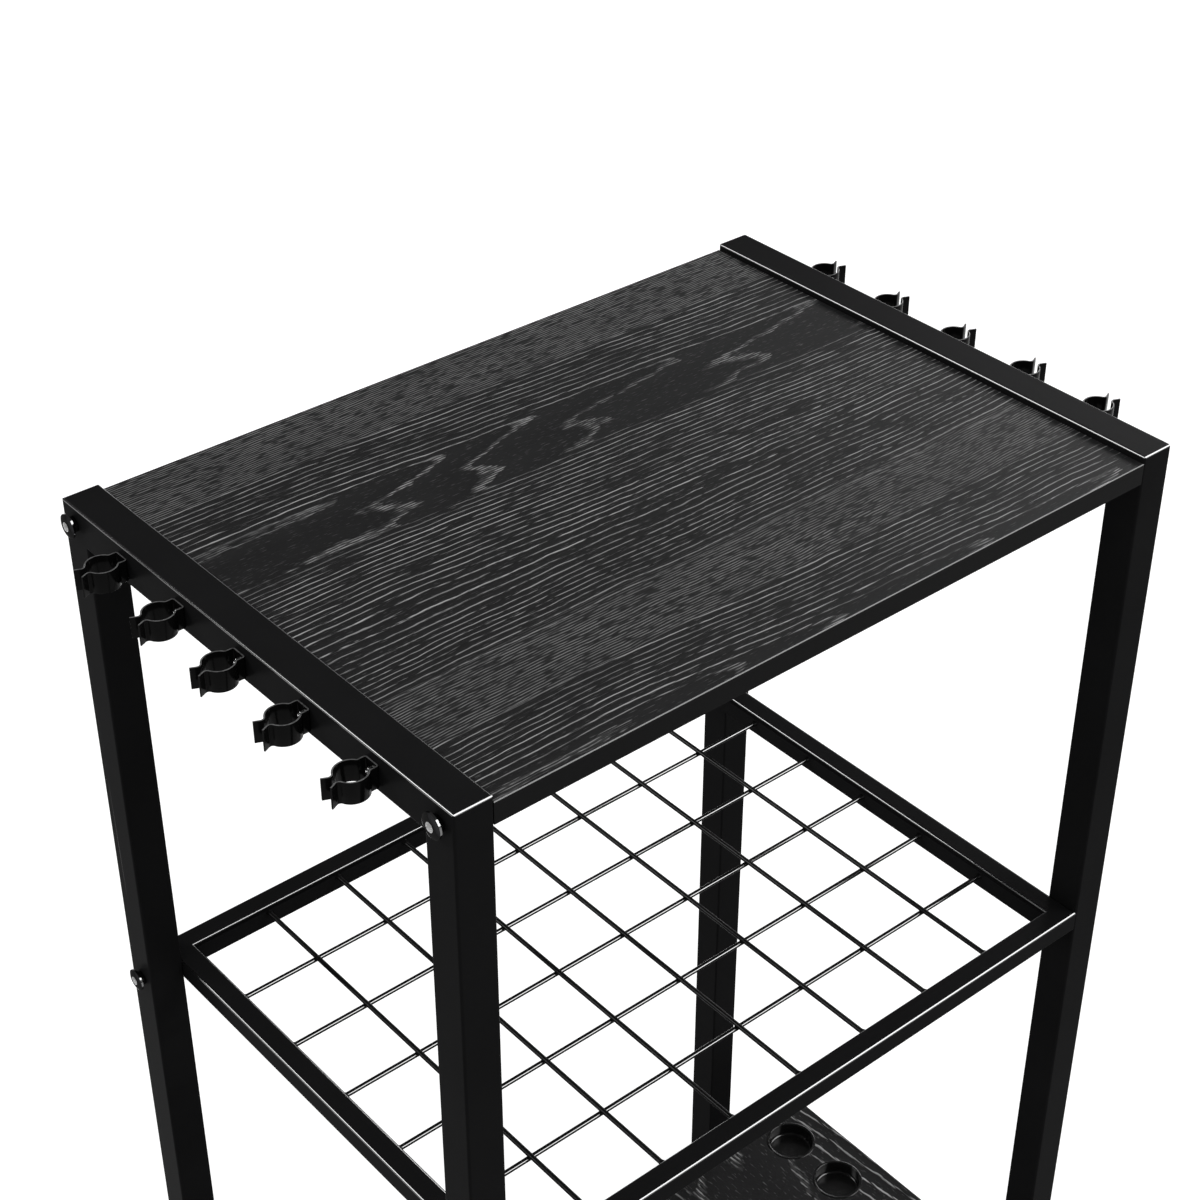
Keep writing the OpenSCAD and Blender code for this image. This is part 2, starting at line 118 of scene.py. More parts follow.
class RackFinish(bpy.types.PropertyGroup):
    """Colours and gloss of the rack's finishes."""
    powder: colour_field("Powder coat", "Colour of the coated tubes and strips", 0.0098, 0.0098, 0.0101)
    powder_gloss: FloatProperty(
        name="Powder roughness", description="Roughness of the coated tubes",
        subtype="FACTOR", min=0, max=1, default=0.3)
    board: colour_field("Board", "Dark ground colour of the boards", 0.0156, 0.0156, 0.0159)
    pores: colour_field("Pores", "Colour of the pale pores in the grain", 0.44)
    wire: colour_field("Wire", "Colour of the coated mesh wires", 0.006)
    spring: colour_field("Spring strip", "Colour of the clips' coated spring strip", 0.004)
    # Painted highlight: a pale colour on the clips' upward-facing cut edges, standing in for the light they
    # catch
    cut_edge: colour_field("Cut edge", "Colour of the strip's worn upper edges", 0.13)
    chrome: colour_field("Black chrome", "Reflection of the dark plated bolts", 0.016, 0.016, 0.017)
    # Also the pale colour of the painted glint inside the frame bolts' sockets
    bright: colour_field("Bright steel", "Reflection of the clips' screws and in the bolts' sockets", 0.8)
    zinc: colour_field("Zinc", "Colour of zinc plated steel", 0.62, 0.63, 0.65)
    brass: colour_field("Brass", "Colour of the threaded inserts", 0.72, 0.55, 0.25)
    cup: colour_field("Cup plastic", "Colour of the gloss cups", 0.006)
    plug: colour_field("Plug plastic", "Colour of the end plugs", 0.012)
    rubber: colour_field("Pad rubber", "Colour of the foot pads", 0.016)


class ShelfSizes(bpy.types.PropertyGroup):
    """The welded wire mesh of the shelf."""
    wire: length_field("Wire", "Diameter of a wire", 0.0034)
    cells_x: IntProperty(name="Cells along", description="Cells of the mesh along it", min=2, default=8)
    cells_y: IntProperty(name="Cells across", description="Cells of the mesh across it", min=2, default=6)
    nugget: length_field("Weld nugget", "Width of the weld at a crossing", 0.0042)
    fillet: length_field("Weld fillet", "Length of the weld where a wire meets its strip", 0.0022)


class ClipSizes(bpy.types.PropertyGroup):
    """One spring clip, bent from strip."""
    strip: length_field("Strip", "Thickness of the strip", 0.001)
    height: length_field("Height", "Height of the strip", 0.014)
    corner: length_field("Edge radius", "Radius on the strip's edges", 0.00022)
    bore: length_field("Bore", "Inside diameter of the loop", 0.018)
    base: length_field("Base", "Width over the base", 0.012)
    standoff: length_field("Stand-off", "From the rail's face to the back of the loop", 0.0046)
    mouth: length_field("Mouth", "Opening between the jaws", 0.0047)
    lip: length_field("Lip", "Length of the straight lips", 0.004)
    lip_angle: FloatProperty(
        name="Lip angle", description="Angle at which the lips open", subtype="ANGLE",
        default=math.radians(25))
    base_bend: length_field("Base bend", "Radius at the base", 0.0013)
    flare: length_field("Flare", "Radius between leg and loop", 0.0015)
    neck: length_field("Neck", "Radius between loop and lip", 0.0025)


class CupSizes(bpy.types.PropertyGroup):
    """One rod cup, turned about its axis."""
    hole: length_field("Hole", "Diameter of the board's hole", 0.043)
    inner: length_field("Inner radius", "Radius inside the cup", 0.0199)
    depth: length_field("Depth", "Depth inside the cup", 0.012)
    floor: length_field("Floor", "Thickness of the cup's floor", 0.002)
    round: length_field("Floor round", "Radius between wall and floor", 0.0026)
    lip: length_field("Lip", "Width of the lip on the board", 0.0008)
    lip_height: length_field("Lip height", "Height of the lip above the board", 0.0006)


class FastenerSizes(bpy.types.PropertyGroup):
    """Bolts and screws."""
    bolt: length_field("Bolt", "Diameter of the frame bolts", 0.006)
    bolt_pitch: length_field("Bolt pitch", "Pitch of their thread", 0.001)
    top_bolt_length: length_field("Top bolt length", "Length of a top bolt under its collar", 0.060)
    shelf_bolt_length: length_field("Shelf bolt length", "Length of a shelf bolt under its collar", 0.036)
    head: length_field("Bolt head", "Diameter of the domed heads", 0.0156)
    head_height: length_field("Head height", "Height of the domed heads", 0.003)
    rim: length_field("Head rim", "Height of the heads' upright rim", 0.0018)
    collar: length_field("Collar", "Width across the flats of the collar under a head", 0.0098)
    collar_height: length_field("Collar height", "How far a head stands off its rail", 0.003)
    collar_corner: length_field("Collar corner", "Radius on the collar's corners", 0.0014)
    key: length_field("Key", "Hexagon socket across its flats", 0.005)
    clip_screw: length_field("Clip screw", "Diameter of a clip's screw", 0.004)
    clip_screw_pitch: length_field("Clip screw pitch", "Pitch of its thread", 0.0007)
    clip_screw_length: length_field("Clip screw length", "Length of its thread under the strip", 0.007)
    clip_head: length_field("Clip screw head", "Diameter of its head", 0.007)
    clip_head_height: length_field("Clip screw head height", "Height of its head", 0.0022)
    board_screw: length_field("Board screw", "Diameter of the lower board's screws", 0.0045)
    board_screw_pitch: length_field("Board screw pitch", "Pitch of their thread", 0.0016)
    board_head: length_field("Board screw head", "Diameter of their heads", 0.009)
    board_head_height: length_field("Board screw head height", "Height of their heads", 0.0026)


class FootSizes(bpy.types.PropertyGroup):
    """Levelling feet."""
    stem: length_field("Stem", "Thread diameter of a stem", 0.008)
    pitch: length_field("Thread pitch", "Pitch of a stem's thread", 0.00125)
    spanner: length_field("Spanner size", "Hexagon of a stem across its flats", 0.013)
    hexagon: length_field("Hexagon", "Height of a stem's hexagon", 0.0049)
    ribs: IntProperty(name="Grip ribs", description="Ribs round a pad", min=6, default=40)


class StudioSizes(bpy.types.PropertyGroup):
    """Camera, lamps, floor and surroundings."""
    camera_place: FloatVectorProperty(
        name="Camera place", description="Where the camera stands", subtype="TRANSLATION", unit="LENGTH",
        size=3, default=(-0.79450, -0.91959, 1.69190))
    camera_turn: FloatVectorProperty(
        name="Camera turn", description="The camera's turn about X, Y and Z", subtype="EULER", size=3,
        default=(math.radians(55.4598), math.radians(-0.0071), math.radians(-40.0752)))
    lens: FloatProperty(name="Lens", description="Focal length in millimetres", min=10, default=71.06)
    floor: colour_field("Floor", "Colour of the floor", 0.6)
    floor_glow: FloatProperty(
        name="Floor glow", description="Light that the floor shows to camera and reflections", default=0.6)
    ambient: FloatProperty(
        name="Ambient", description="Strength of the even light from all round", default=0.48)
    overhead: FloatProperty(
        name="Overhead", description="Brightness of the surroundings overhead, as reflections see them",
        default=0.1)
    key: power_field("Key lamp", "Power of the front lamp", 120)
    rim: power_field("Rim lamp", "Power of the lamp behind the left end", 100)
    sheen: power_field("Board lamp", "Power of the soft lamp that the board reflects", 150)


class RodRackSettings(bpy.types.PropertyGroup):
    """All the sizes and colours of the rod rack."""
    finish: PointerProperty(type=RackFinish)
    shelf: PointerProperty(type=ShelfSizes)
    clip: PointerProperty(type=ClipSizes)
    cup: PointerProperty(type=CupSizes)
    fastener: PointerProperty(type=FastenerSizes)
    foot: PointerProperty(type=FootSizes)
    studio: PointerProperty(type=StudioSizes)


# Node trees

# The sockets of a Mix node that carry colours. Its sockets for values and vectors have the same names.
MIX_A = 6
MIX_B = 7
MIX_RESULT = 2


class NodeSheet:
    """A node tree with short calls for placing nodes and joining them up."""

    def __init__(self, tree):
        self.tree = tree

    def put(self, socket, value):
        """Sets a socket to a value, or joins it to another node's output. None leaves it alone."""
        if isinstance(value, bpy.types.NodeSocket):
            self.tree.links.new(value, socket)
        elif value is not None:
            socket.default_value = value

    def add(self, kind, inputs=None, **settings):
        """A node of a kind with its settings, and its inputs by name or number."""
        node = self.tree.nodes.new(kind)
        for key, value in settings.items():
            setattr(node, key, value)
        for key, value in (inputs or {}).items():
            self.put(node.inputs[key], value)
        return node

    def group(self, name, build, inputs=None):
        """The outputs of a shared node group, which is built when it is first placed."""
        return self.add("ShaderNodeGroup", inputs, node_tree=build_once(name, build)).outputs

    def place(self):
        """Object coordinates."""
        return self.add("ShaderNodeTexCoord").outputs["Object"]

    def normal(self):
        """The direction that the surface faces."""
        return self.add("ShaderNodeNewGeometry").outputs["Normal"]

    def parts(self, vector):
        """The X, Y and Z of a vector."""
        return self.add("ShaderNodeSeparateXYZ", {0: vector}).outputs

    def vector(self, x=None, y=None, z=None):
        """A vector from its X, Y and Z, each of them 0 unless given."""
        return self.add("ShaderNodeCombineXYZ", {0: x, 1: y, 2: z}).outputs[0]

    def math(self, operation, a, b=None, c=None, clamp=False):
        """The result of a sum on one to three values."""
        node = self.add("ShaderNodeMath", {0: a, 1: b, 2: c}, operation=operation, use_clamp=clamp)
        return node.outputs[0]

    def between(self, share, a, b):
        """A value between a and b."""
        return self.math("MULTIPLY_ADD", self.math("SUBTRACT", b, a), share, a)

    def ramp(self, value, low, high, to_low=0.0, to_high=1.0, smooth=True):
        """A value carried from one range to another, eased at its ends."""
        node = self.add("ShaderNodeMapRange", {
            "Value": value, "From Min": low, "From Max": high, "To Min": to_low, "To Max": to_high,
        }, interpolation_type="SMOOTHSTEP" if smooth else "LINEAR")
        return node.outputs["Result"]

    def curve(self, value, reach, points):
        """A smooth curve through points, for a value between -reach and reach. Points give real units."""
        tops = [y for _, y in points]
        least, span = min(tops), max(tops) - min(tops)
        share = self.ramp(value, -reach, reach, smooth=False)
        node = self.add("ShaderNodeFloatCurve", {"Value": share})
        line = node.mapping.curves[0]
        spots = [((x + reach) / (2 * reach), (y - least) / span) for x, y in points]
        while len(line.points) < len(spots):
            line.points.new(0.5, 0.5)
        for point, spot in zip(line.points, spots):
            point.location = spot
            point.handle_type = "AUTO_CLAMPED"
        node.mapping.update()
        return self.math("MULTIPLY_ADD", node.outputs["Value"], span, least)

    def noise(self, vector, scale, detail=2.0):
        """Soft noise from 0 to 1."""
        node = self.add("ShaderNodeTexNoise", {"Vector": vector, "Scale": scale, "Detail": detail})
        return node.outputs["Fac"]

    def drawn_noise(self, vector, scales, detail=2.0):
        """Noise with a scale for each axis. The larger scale makes it finer along that axis."""
        scaled = self.add("ShaderNodeVectorMath", {0: vector, 1: scales}, operation="MULTIPLY").outputs[0]
        return self.noise(scaled, 1.0, detail)

    def centred(self, value):
        """A value from 0 to 1, carried to -0.5 to 0.5."""
        return self.math("SUBTRACT", value, 0.5)

    def mix(self, share, a, b):
        """A colour between a and b."""
        node = self.add("ShaderNodeMix", data_type="RGBA")
        self.put(node.inputs["Factor"], share)
        self.put(node.inputs[MIX_A], a)
        self.put(node.inputs[MIX_B], b)
        return node.outputs[MIX_RESULT]

    def shaded(self, tone, low, high, colour, dark, light):
        """A colour times dark where a tone is low, and times light where it is high."""
        share = self.ramp(tone, low, high, smooth=False)
        return self.mix(share, colour4(colour, dark), colour4(colour, light))

    def bump(self, height, distance):
        """A normal from a height that runs from 0 to 1, over a distance in metres."""
        return self.add("ShaderNodeBump", {"Height": height, "Distance": distance}).outputs["Normal"]


def colour4(colour, factor=1.0):
    """A colour made darker or lighter by a factor, as a shader takes it."""
    return (colour[0] * factor, colour[1] * factor, colour[2] * factor, 1.0)


def new_group(name, kind, inputs, outputs):
    """A node group with named sockets. Returns its sheet, its inputs by name and its output node."""
    tree = bpy.data.node_groups.new(name, kind)
    for socket_name, socket_type, default in inputs:
        socket = tree.interface.new_socket(socket_name, in_out="INPUT", socket_type=socket_type)
        if default is not None:
            socket.default_value = default
    for socket_name, socket_type in outputs:
        tree.interface.new_socket(socket_name, in_out="OUTPUT", socket_type=socket_type)
    sheet = NodeSheet(tree)
    given = sheet.add("NodeGroupInput").outputs
    return sheet, given, sheet.add("NodeGroupOutput")


def build_once(name, build):
    """A node group by name, built if it isn't there yet."""
    return bpy.data.node_groups.get(name) or build(name)


# Shader groups: masks and heights that several finishes share

def orange_peel_group(name):
    """The fine waviness and specks of a sprayed or moulded surface."""
    sheet, given, out = new_group(name, "ShaderNodeTree", [
        ("Grain", "NodeSocketFloat", 900.0),
        ("Roughness", "NodeSocketFloat", 0.3),
        ("Spread", "NodeSocketFloat", 0.08),
        ("Patches", "NodeSocketFloat", 14.0),
    ], [("Height", "NodeSocketFloat"), ("Roughness", "NodeSocketFloat"), ("Tone", "NodeSocketFloat")])
    place = sheet.place()
    peel = sheet.noise(place, given["Grain"], detail=3.0)
    fine = sheet.noise(place, sheet.math("MULTIPLY", given["Grain"], 2.6), detail=1.0)
    specks = sheet.ramp(fine, 0.62, 0.8)
    sheet.put(out.inputs["Height"], sheet.math("MULTIPLY_ADD", specks, 0.35, peel))
    uneven = sheet.centred(sheet.noise(place, given["Patches"], detail=4.0))
    rough = sheet.math("MULTIPLY_ADD", uneven, given["Spread"], given["Roughness"])
    sheet.put(out.inputs["Roughness"], sheet.math("MULTIPLY_ADD", specks, 0.06, rough, clamp=True))
    sheet.put(out.inputs["Tone"], sheet.math("MULTIPLY_ADD", uneven, 0.5, 1.0))
    return sheet.tree


def lay_marks_group(name):
    """Fine lathe or drawing marks on bare and plated metal, across one axis."""
    sheet, given, out = new_group(name, "ShaderNodeTree", [
        ("Stretch", "NodeSocketVector", (300.0, 300.0, 6000.0)),
        ("Roughness", "NodeSocketFloat", 0.3),
        ("Spread", "NodeSocketFloat", 0.15),
        ("Blotches", "NodeSocketFloat", 160.0),
    ], [("Height", "NodeSocketFloat"), ("Roughness", "NodeSocketFloat"), ("Tone", "NodeSocketFloat")])
    place = sheet.place()
    marks = sheet.drawn_noise(place, given["Stretch"], detail=3.0)
    blotch = sheet.noise(place, given["Blotches"], detail=3.0)
    sheet.put(out.inputs["Height"], marks)
    rough = sheet.math("MULTIPLY_ADD", sheet.centred(marks), given["Spread"], given["Roughness"])
    sheet.put(out.inputs["Roughness"], sheet.math("MULTIPLY_ADD", blotch, 0.05, rough, clamp=True))
    sheet.put(out.inputs["Tone"], sheet.math("MULTIPLY_ADD", blotch, 0.3, 0.85))
    return sheet.tree


def new_mask(name):
    """A node group with nothing but a mask. Returns its sheet and the mask's socket."""
    sheet, _, out = new_group(name, "ShaderNodeTree", [], [("Mask", "NodeSocketFloat")])
    return sheet, out.inputs["Mask"]


def top_edge_group(name):
    """Where a surface turns over from its top to its side: the upper edges, which handling keeps glossy."""
    sheet, mask = new_mask(name)
    normal = sheet.normal()
    facing = sheet.parts(sheet.add("ShaderNodeVectorMath", {0: normal}, operation="ABSOLUTE").outputs[0])
    most = sheet.math("MAXIMUM", sheet.math("MAXIMUM", facing[0], facing[1]), facing[2])
    turned = sheet.ramp(most, 0.93, 0.998, 1.0, 0.0)
    upward = sheet.ramp(sheet.parts(normal)[2], 0.05, 0.3)
    sheet.put(mask, sheet.math("MULTIPLY", turned, upward))
    return sheet.tree


def upper_side_group(name):
    """The upper flanks of a round wire along X, where the coat runs smooth."""
    sheet, mask = new_mask(name)
    facing = sheet.parts(sheet.normal())
    rising = sheet.ramp(facing[2], 0.35, 0.5)
    upward = sheet.math("MULTIPLY", rising, sheet.ramp(facing[2], 0.7, 0.78, 1.0, 0.0))
    sideways = sheet.ramp(sheet.math("ABSOLUTE", facing[0]), 0.15, 0.5, 1.0, 0.12)
    sheet.put(mask, sheet.math("MULTIPLY", upward, sideways))
    return sheet.tree


def turned_side_group(name):
    """The sides of a bolt that lies along X. The blackened end of its head stays dull."""
    sheet, mask = new_mask(name)
    endways = sheet.math("ABSOLUTE", sheet.parts(sheet.normal())[0])
    sheet.put(mask, sheet.ramp(endways, 0.3, 0.75, 1.0, 0.06))
    return sheet.tree


def painted_socket_glint_group(name):
    """Painted glint inside the frame bolts' sockets, found by its distance from a bolt's axis."""
    sheet, mask = new_mask(name)
    axes = sheet.parts(sheet.place())
    sideways = sheet.math("SUBTRACT", sheet.math("ABSOLUTE", axes[1]), POST_Y)
    from_top = sheet.math("ABSOLUTE", sheet.math("SUBTRACT", axes[2], TOP_BOLT_Z))
    from_shelf = sheet.math("ABSOLUTE", sheet.math("SUBTRACT", axes[2], SHELF_BOLT_Z))
    spot = sheet.vector(sideways, sheet.math("MINIMUM", from_top, from_shelf))
    reach = sheet.add("ShaderNodeVectorMath", {0: spot}, operation="LENGTH").outputs["Value"]
    near = sheet.ramp(reach, SOCKET_RADIUS - 0.0001, SOCKET_RADIUS + 0.0001, 1.0, 0.0)
    outside = sheet.math("GREATER_THAN", sheet.math("ABSOLUTE", axes[0]), FRAME_X + SOCKET_START)
    sheet.put(mask, sheet.math("MULTIPLY", near, outside))
    return sheet.tree


def painted_edge_highlight_group(name):
    """Painted highlight on the upward-facing cut edges of a strip, broken up unevenly along them."""
    sheet, mask = new_mask(name)
    upward = sheet.ramp(sheet.parts(sheet.normal())[2], 0.55, 0.9)
    patchy = sheet.ramp(sheet.noise(sheet.place(), 420.0, detail=3.0), 0.3, 0.6, 0.55, 1.0)
    sheet.put(mask, sheet.math("MULTIPLY", upward, patchy))
    return sheet.tree


# How far the grain's curves reach from the middle of a board, and the width of a row of rays
GRAIN_HALF_LENGTH = 0.33
GRAIN_HALF_WIDTH = 0.197
RAY_ROW = 0.002
# The count of rings across the board, from its front edge to its back, in metres and rings
RINGS_ACROSS = (
    (-0.197, 46.2), (-0.186, 46.9), (-0.175, 45.4), (-0.136, 36.8), (-0.088, 29.6), (-0.052, 21.6),
    (-0.015, 15.9), (0.030, 6.2), (0.040, 3.9), (0.0455, 2.95), (0.050, 3.05), (0.0575, 3.26), (0.063, 3.2),
    (0.070, 3.1), (0.080, 3.5), (0.091, 3.95), (0.099, 2.9), (0.110, 0.9), (0.142, -5.6), (0.197, -15.0),
)
# The count of rings along the board, from left to right
RINGS_ALONG = (
    (-0.33, -0.3), (-0.25, -0.25), (-0.19, -0.2), (-0.15, -0.08), (-0.128, 0.08), (-0.071, 0.93),
    (0.004, 1.95), (0.126, 2.95), (0.249, 3.95), (0.33, 4.6),
)
# How much of the count along the board the rings follow, from front to back
RING_DRIFT = (
    (-0.197, 1.0), (-0.135, 0.95), (-0.11, 0.3), (-0.06, 0.02), (-0.03, 0.35), (0.01, 0.95), (0.197, 1.0),
)
# How many rings a line wavers by
RING_WAVE = ((-0.197, 0.5), (-0.12, 0.7), (-0.06, 1.0), (0.0, 0.6), (0.05, 0.35), (0.197, 0.5))
# Where the rings fold back into flames
FLAME_ZONES = (
    (-0.197, 1.0), (-0.182, 1.0), (-0.176, 0.0), (0.035, 0.0), (0.045, 1.0), (0.088, 1.0), (0.1, 0.0),
    (0.197, 0.0),
)
# Where the board shows close rays of short pores
CLOSE_BANDS = (
    (-0.197, 0.0), (-0.139, 0.0), (-0.134, 1.0), (-0.1, 0.95), (-0.078, 0.0), (0.13, 0.0),
    (0.138, 0.05), (0.144, 1.0), (0.197, 1.0),
)
# How short the pores of the ring lines are
SHORT_PORES = (
    (-0.197, 0.1), (-0.13, 0.3), (-0.05, 0.7), (0.0, 0.3), (0.04, 0.2), (0.05, 0.9), (0.088, 0.9),
    (0.1, 0.1), (0.197, 0.1),
)


def oak_grain_group(name):
    """Open oak grain of a flat-sawn board: rings that fold into flames in the middle, drawn by short pores.

    Rings follow a count across the board less a count along it. Where the count across stands still, the
    rings fold back and show as broad flames. Two bands of the board are close rays of very short pores.
    """
    sheet, given, out = new_group(name, "ShaderNodeTree", [("Place", "NodeSocketVector", None)], [
        ("Pores", "NodeSocketFloat"), ("Tone", "NodeSocketFloat"), ("Height", "NodeSocketFloat"),
    ])
    place = given["Place"]
    axes = sheet.parts(place)
    along, across = axes[0], axes[1]

    # The count of rings, which wavers a little
    shift = sheet.centred(sheet.drawn_noise(place, (9.0, 3.0, 1.0), detail=1.0))
    shifted = sheet.math("MULTIPLY_ADD", shift, 0.007, across)
    sway = sheet.centred(sheet.drawn_noise(place, (14.0, 26.0, 1.0)))
    wander = sheet.centred(sheet.drawn_noise(place, (60.0, 130.0, 1.0)))
    rings_along = sheet.curve(along, GRAIN_HALF_LENGTH, RINGS_ALONG)
    rings_along = sheet.math("MULTIPLY", rings_along, sheet.curve(across, GRAIN_HALF_WIDTH, RING_DRIFT))
    count = sheet.math("SUBTRACT", sheet.curve(shifted, GRAIN_HALF_WIDTH, RINGS_ACROSS), rings_along)
    count = sheet.math("MULTIPLY_ADD", sway, sheet.curve(across, GRAIN_HALF_WIDTH, RING_WAVE), count)
    count = sheet.math("MULTIPLY_ADD", wander, 0.4, count)
    ring = sheet.math("FRACT", count)
    number = sheet.math("FLOOR", count)

    # The porous wood at the start of a ring, with more pores in some rings than in others
    chance = sheet.add("ShaderNodeTexWhiteNoise", {"W": number}, noise_dimensions="1D").outputs["Value"]
    porous = sheet.math("MULTIPLY", sheet.ramp(ring, 0.0, 0.05), sheet.ramp(ring, 0.1, 0.23, 1.0, 0.0))
    porous = sheet.math("MULTIPLY", porous, sheet.ramp(chance, 0.0, 1.0, 0.55, 1.0, smooth=False))

    # Its pores are long or short, and their line breaks up on its way, but not in the flames
    flames = sheet.curve(across, GRAIN_HALF_WIDTH, FLAME_ZONES)
    long_pores = sheet.drawn_noise(place, (34.0, 1500.0, 1.0), detail=1.0)
    short_pores = sheet.drawn_noise(place, (125.0, 1350.0, 1.0), detail=1.0)
    shortness = sheet.curve(across, GRAIN_HALF_WIDTH, SHORT_PORES)
    line = sheet.vector(sheet.math("MULTIPLY", along, 30.0), sheet.math("MULTIPLY", number, 5.7))
    breaks = sheet.centred(sheet.noise(line, 1.0, detail=1.0))
    breaks = sheet.math("MULTIPLY", breaks, sheet.math("SUBTRACT", 1.0, flames))
    broken = sheet.math("MULTIPLY_ADD", breaks, 0.7, sheet.between(shortness, long_pores, short_pores))
    ring_pores = sheet.math("MULTIPLY", sheet.ramp(broken, 0.37, 0.53), porous)
    stray_pores = sheet.math("MULTIPLY", sheet.ramp(short_pores, 0.62, 0.76), 0.14)

    # Rays are rows of short dashes
    rows = sheet.math("ADD", sheet.math("DIVIDE", shifted, RAY_ROW), wander)
    from_row = sheet.math("ABSOLUTE", sheet.centred(sheet.math("FRACT", rows)))
    row_number = sheet.math("FLOOR", rows)
    spot = sheet.vector(sheet.math("MULTIPLY", along, 95.0), sheet.math("MULTIPLY", row_number, 7.31))
    dashes = sheet.ramp(sheet.noise(spot, 1.0, detail=1.0), 0.3, 0.58)
    rays = sheet.math("MULTIPLY", dashes, sheet.ramp(from_row, 0.0, 0.26, 1.0, 0.0))

    # Rays cut the flames into streaks, and stand by themselves in the close bands
    streaks = sheet.ramp(rays, 0.0, 0.6, 0.12, 0.85)
    cut = sheet.ramp(flames, 0.0, 1.0, 1.0, streaks, smooth=False)
    ring_pores = sheet.math("MULTIPLY", ring_pores, cut)
    open_part = sheet.math("MAXIMUM", ring_pores, stray_pores)
    close = sheet.curve(across, GRAIN_HALF_WIDTH, CLOSE_BANDS)
    chosen = sheet.between(close, open_part, sheet.math("MULTIPLY", rays, 0.46))

    # Patches of the board have stronger pores, and fine fibres lie between them
    patch = sheet.drawn_noise(place, (9.0, 30.0, 1.0), detail=3.0)
    pores = sheet.math("MULTIPLY", chosen, sheet.ramp(patch, 0.3, 0.7, 0.75, 1.15), clamp=True)
    fibre = sheet.drawn_noise(place, (240.0, 2600.0, 1.0))
    tone = sheet.math("MULTIPLY_ADD", fibre, 0.7, sheet.math("MULTIPLY_ADD", ring, 0.3, 0.5))
    sheet.put(out.inputs["Pores"], pores)
    sheet.put(out.inputs["Tone"], sheet.math("MULTIPLY_ADD", close, 0.25, tone))
    fibre_height = sheet.math("MULTIPLY", fibre, 0.3)
    sheet.put(out.inputs["Height"], sheet.math("MULTIPLY_ADD", pores, -0.8, fibre_height))
    return sheet.tree


# Finishes

def new_material(name):
    """A material with the sheet of its nodes and its shader."""
    material = bpy.data.materials.new(name)
    material.use_nodes = True
    return material, *opened(material)


def opened(material):
    """The sheet of a material's nodes, and its shader."""
    return NodeSheet(material.node_tree), material.node_tree.nodes["Principled BSDF"]


def coated(name, colour, roughness, specular, grain=900.0, relief=0.000012, spread=0.08, edges=None):
    """A sprayed, dipped or moulded black finish with fine orange peel, and a gloss where a mask says."""
    material, sheet, shader = new_material(name)
    peel = sheet.group("orange_peel", orange_peel_group, {
        "Grain": grain, "Roughness": roughness, "Spread": spread,
    })
    sheet.put(shader.inputs["Base Color"], sheet.shaded(peel["Tone"], 0.75, 1.25, colour, 0.75, 1.25))
    sheet.put(shader.inputs["Roughness"], peel["Roughness"])
    sheet.put(shader.inputs["Normal"], sheet.bump(peel["Height"], relief))
    shader.inputs["Specular IOR Level"].default_value = specular
    if edges:
        gloss_where(sheet, shader, edges)
    return material


def metal(name, colour, roughness, spread=0.12, relief=0.000004, edges=None):
    """Bare or plated metal with fine marks, and a gloss where a mask says."""
    material, sheet, shader = new_material(name)
    marks = sheet.group("lay_marks", lay_marks_group, {"Roughness": roughness, "Spread": spread})
    sheet.put(shader.inputs["Base Color"], sheet.shaded(marks["Tone"], 0.85, 1.15, colour, 0.82, 1.0))
    sheet.put(shader.inputs["Roughness"], marks["Roughness"])
    sheet.put(shader.inputs["Normal"], sheet.bump(marks["Height"], relief))
    shader.inputs["Metallic"].default_value = 1.0
    if edges:
        shader.inputs["Specular Tint"].default_value = (0.0, 0.0, 0.0, 1.0)
        gloss_where(sheet, shader, edges)
    return material


# The mask groups that a finish may take its gloss from
GLOSS_MASKS = {
    "top_edge": top_edge_group,
    "upper_side": upper_side_group,
    "turned_side": turned_side_group,
}
GLOSS_ROUGHNESS = 0.12
GLOSS_IOR = 2.2


def gloss_where(sheet, shader, place, weight=1.0):
    """Adds a clear gloss on the upper edges, on the upper side of wires, or on the sides of bolts."""
    mask = sheet.group(place, GLOSS_MASKS[place])["Mask"]
    sheet.put(shader.inputs["Coat Weight"], sheet.math("MULTIPLY", mask, weight))
    shader.inputs["Coat Roughness"].default_value = GLOSS_ROUGHNESS
    shader.inputs["Coat IOR"].default_value = GLOSS_IOR


def recolour(material, mask_name, build, colour):
    """Lays another colour over a finish where a mask group says. Returns the sheet, shader and mask."""
    sheet, shader = opened(material)
    mask = sheet.group(mask_name, build)["Mask"]
    under = shader.inputs["Base Color"].links[0].from_socket
    sheet.put(shader.inputs["Base Color"], sheet.mix(mask, under, colour4(colour)))
    return sheet, shader, mask


def spring_strip(name, finish):
    """Gloss black spring strip, with a painted highlight on the cut edges that face upwards."""
    material = coated(name, finish.spring, 0.16, 0.04, grain=1300.0, relief=0.000002, spread=0.04)
    # Painted highlight: the pale edge colour goes where the strip's edges face upwards
    recolour(material, "cut_edge", painted_edge_highlight_group, finish.cut_edge)
    return material


def bolt_black(name, finish):
    """Blackened chrome, polished on the sides of a bolt, with a glint painted in its socket as a pale,
    non-metallic colour.
    """
    material = metal(name, finish.chrome, 0.1, spread=0.05, relief=0.000001, edges="turned_side")
    # Painted glint: the socket's inside turns pale and non-metallic, standing in for the light it catches
    sheet, shader, socket = recolour(material, "bolt_socket", painted_socket_glint_group, finish.bright)
    sheet.put(shader.inputs["Metallic"], sheet.math("SUBTRACT", 1.0, socket))
    return material


# The lower board's grain runs along Y. It is drawn wider than the top's, and starts off its middle.
TURNED_WIDTH = 0.45
TURNED_SHIFT = -0.045
# A board's grain stops this far below its faces, and its pores are this deep
FACE_DEPTH = 0.0001
PORE_DEPTH = 0.00006


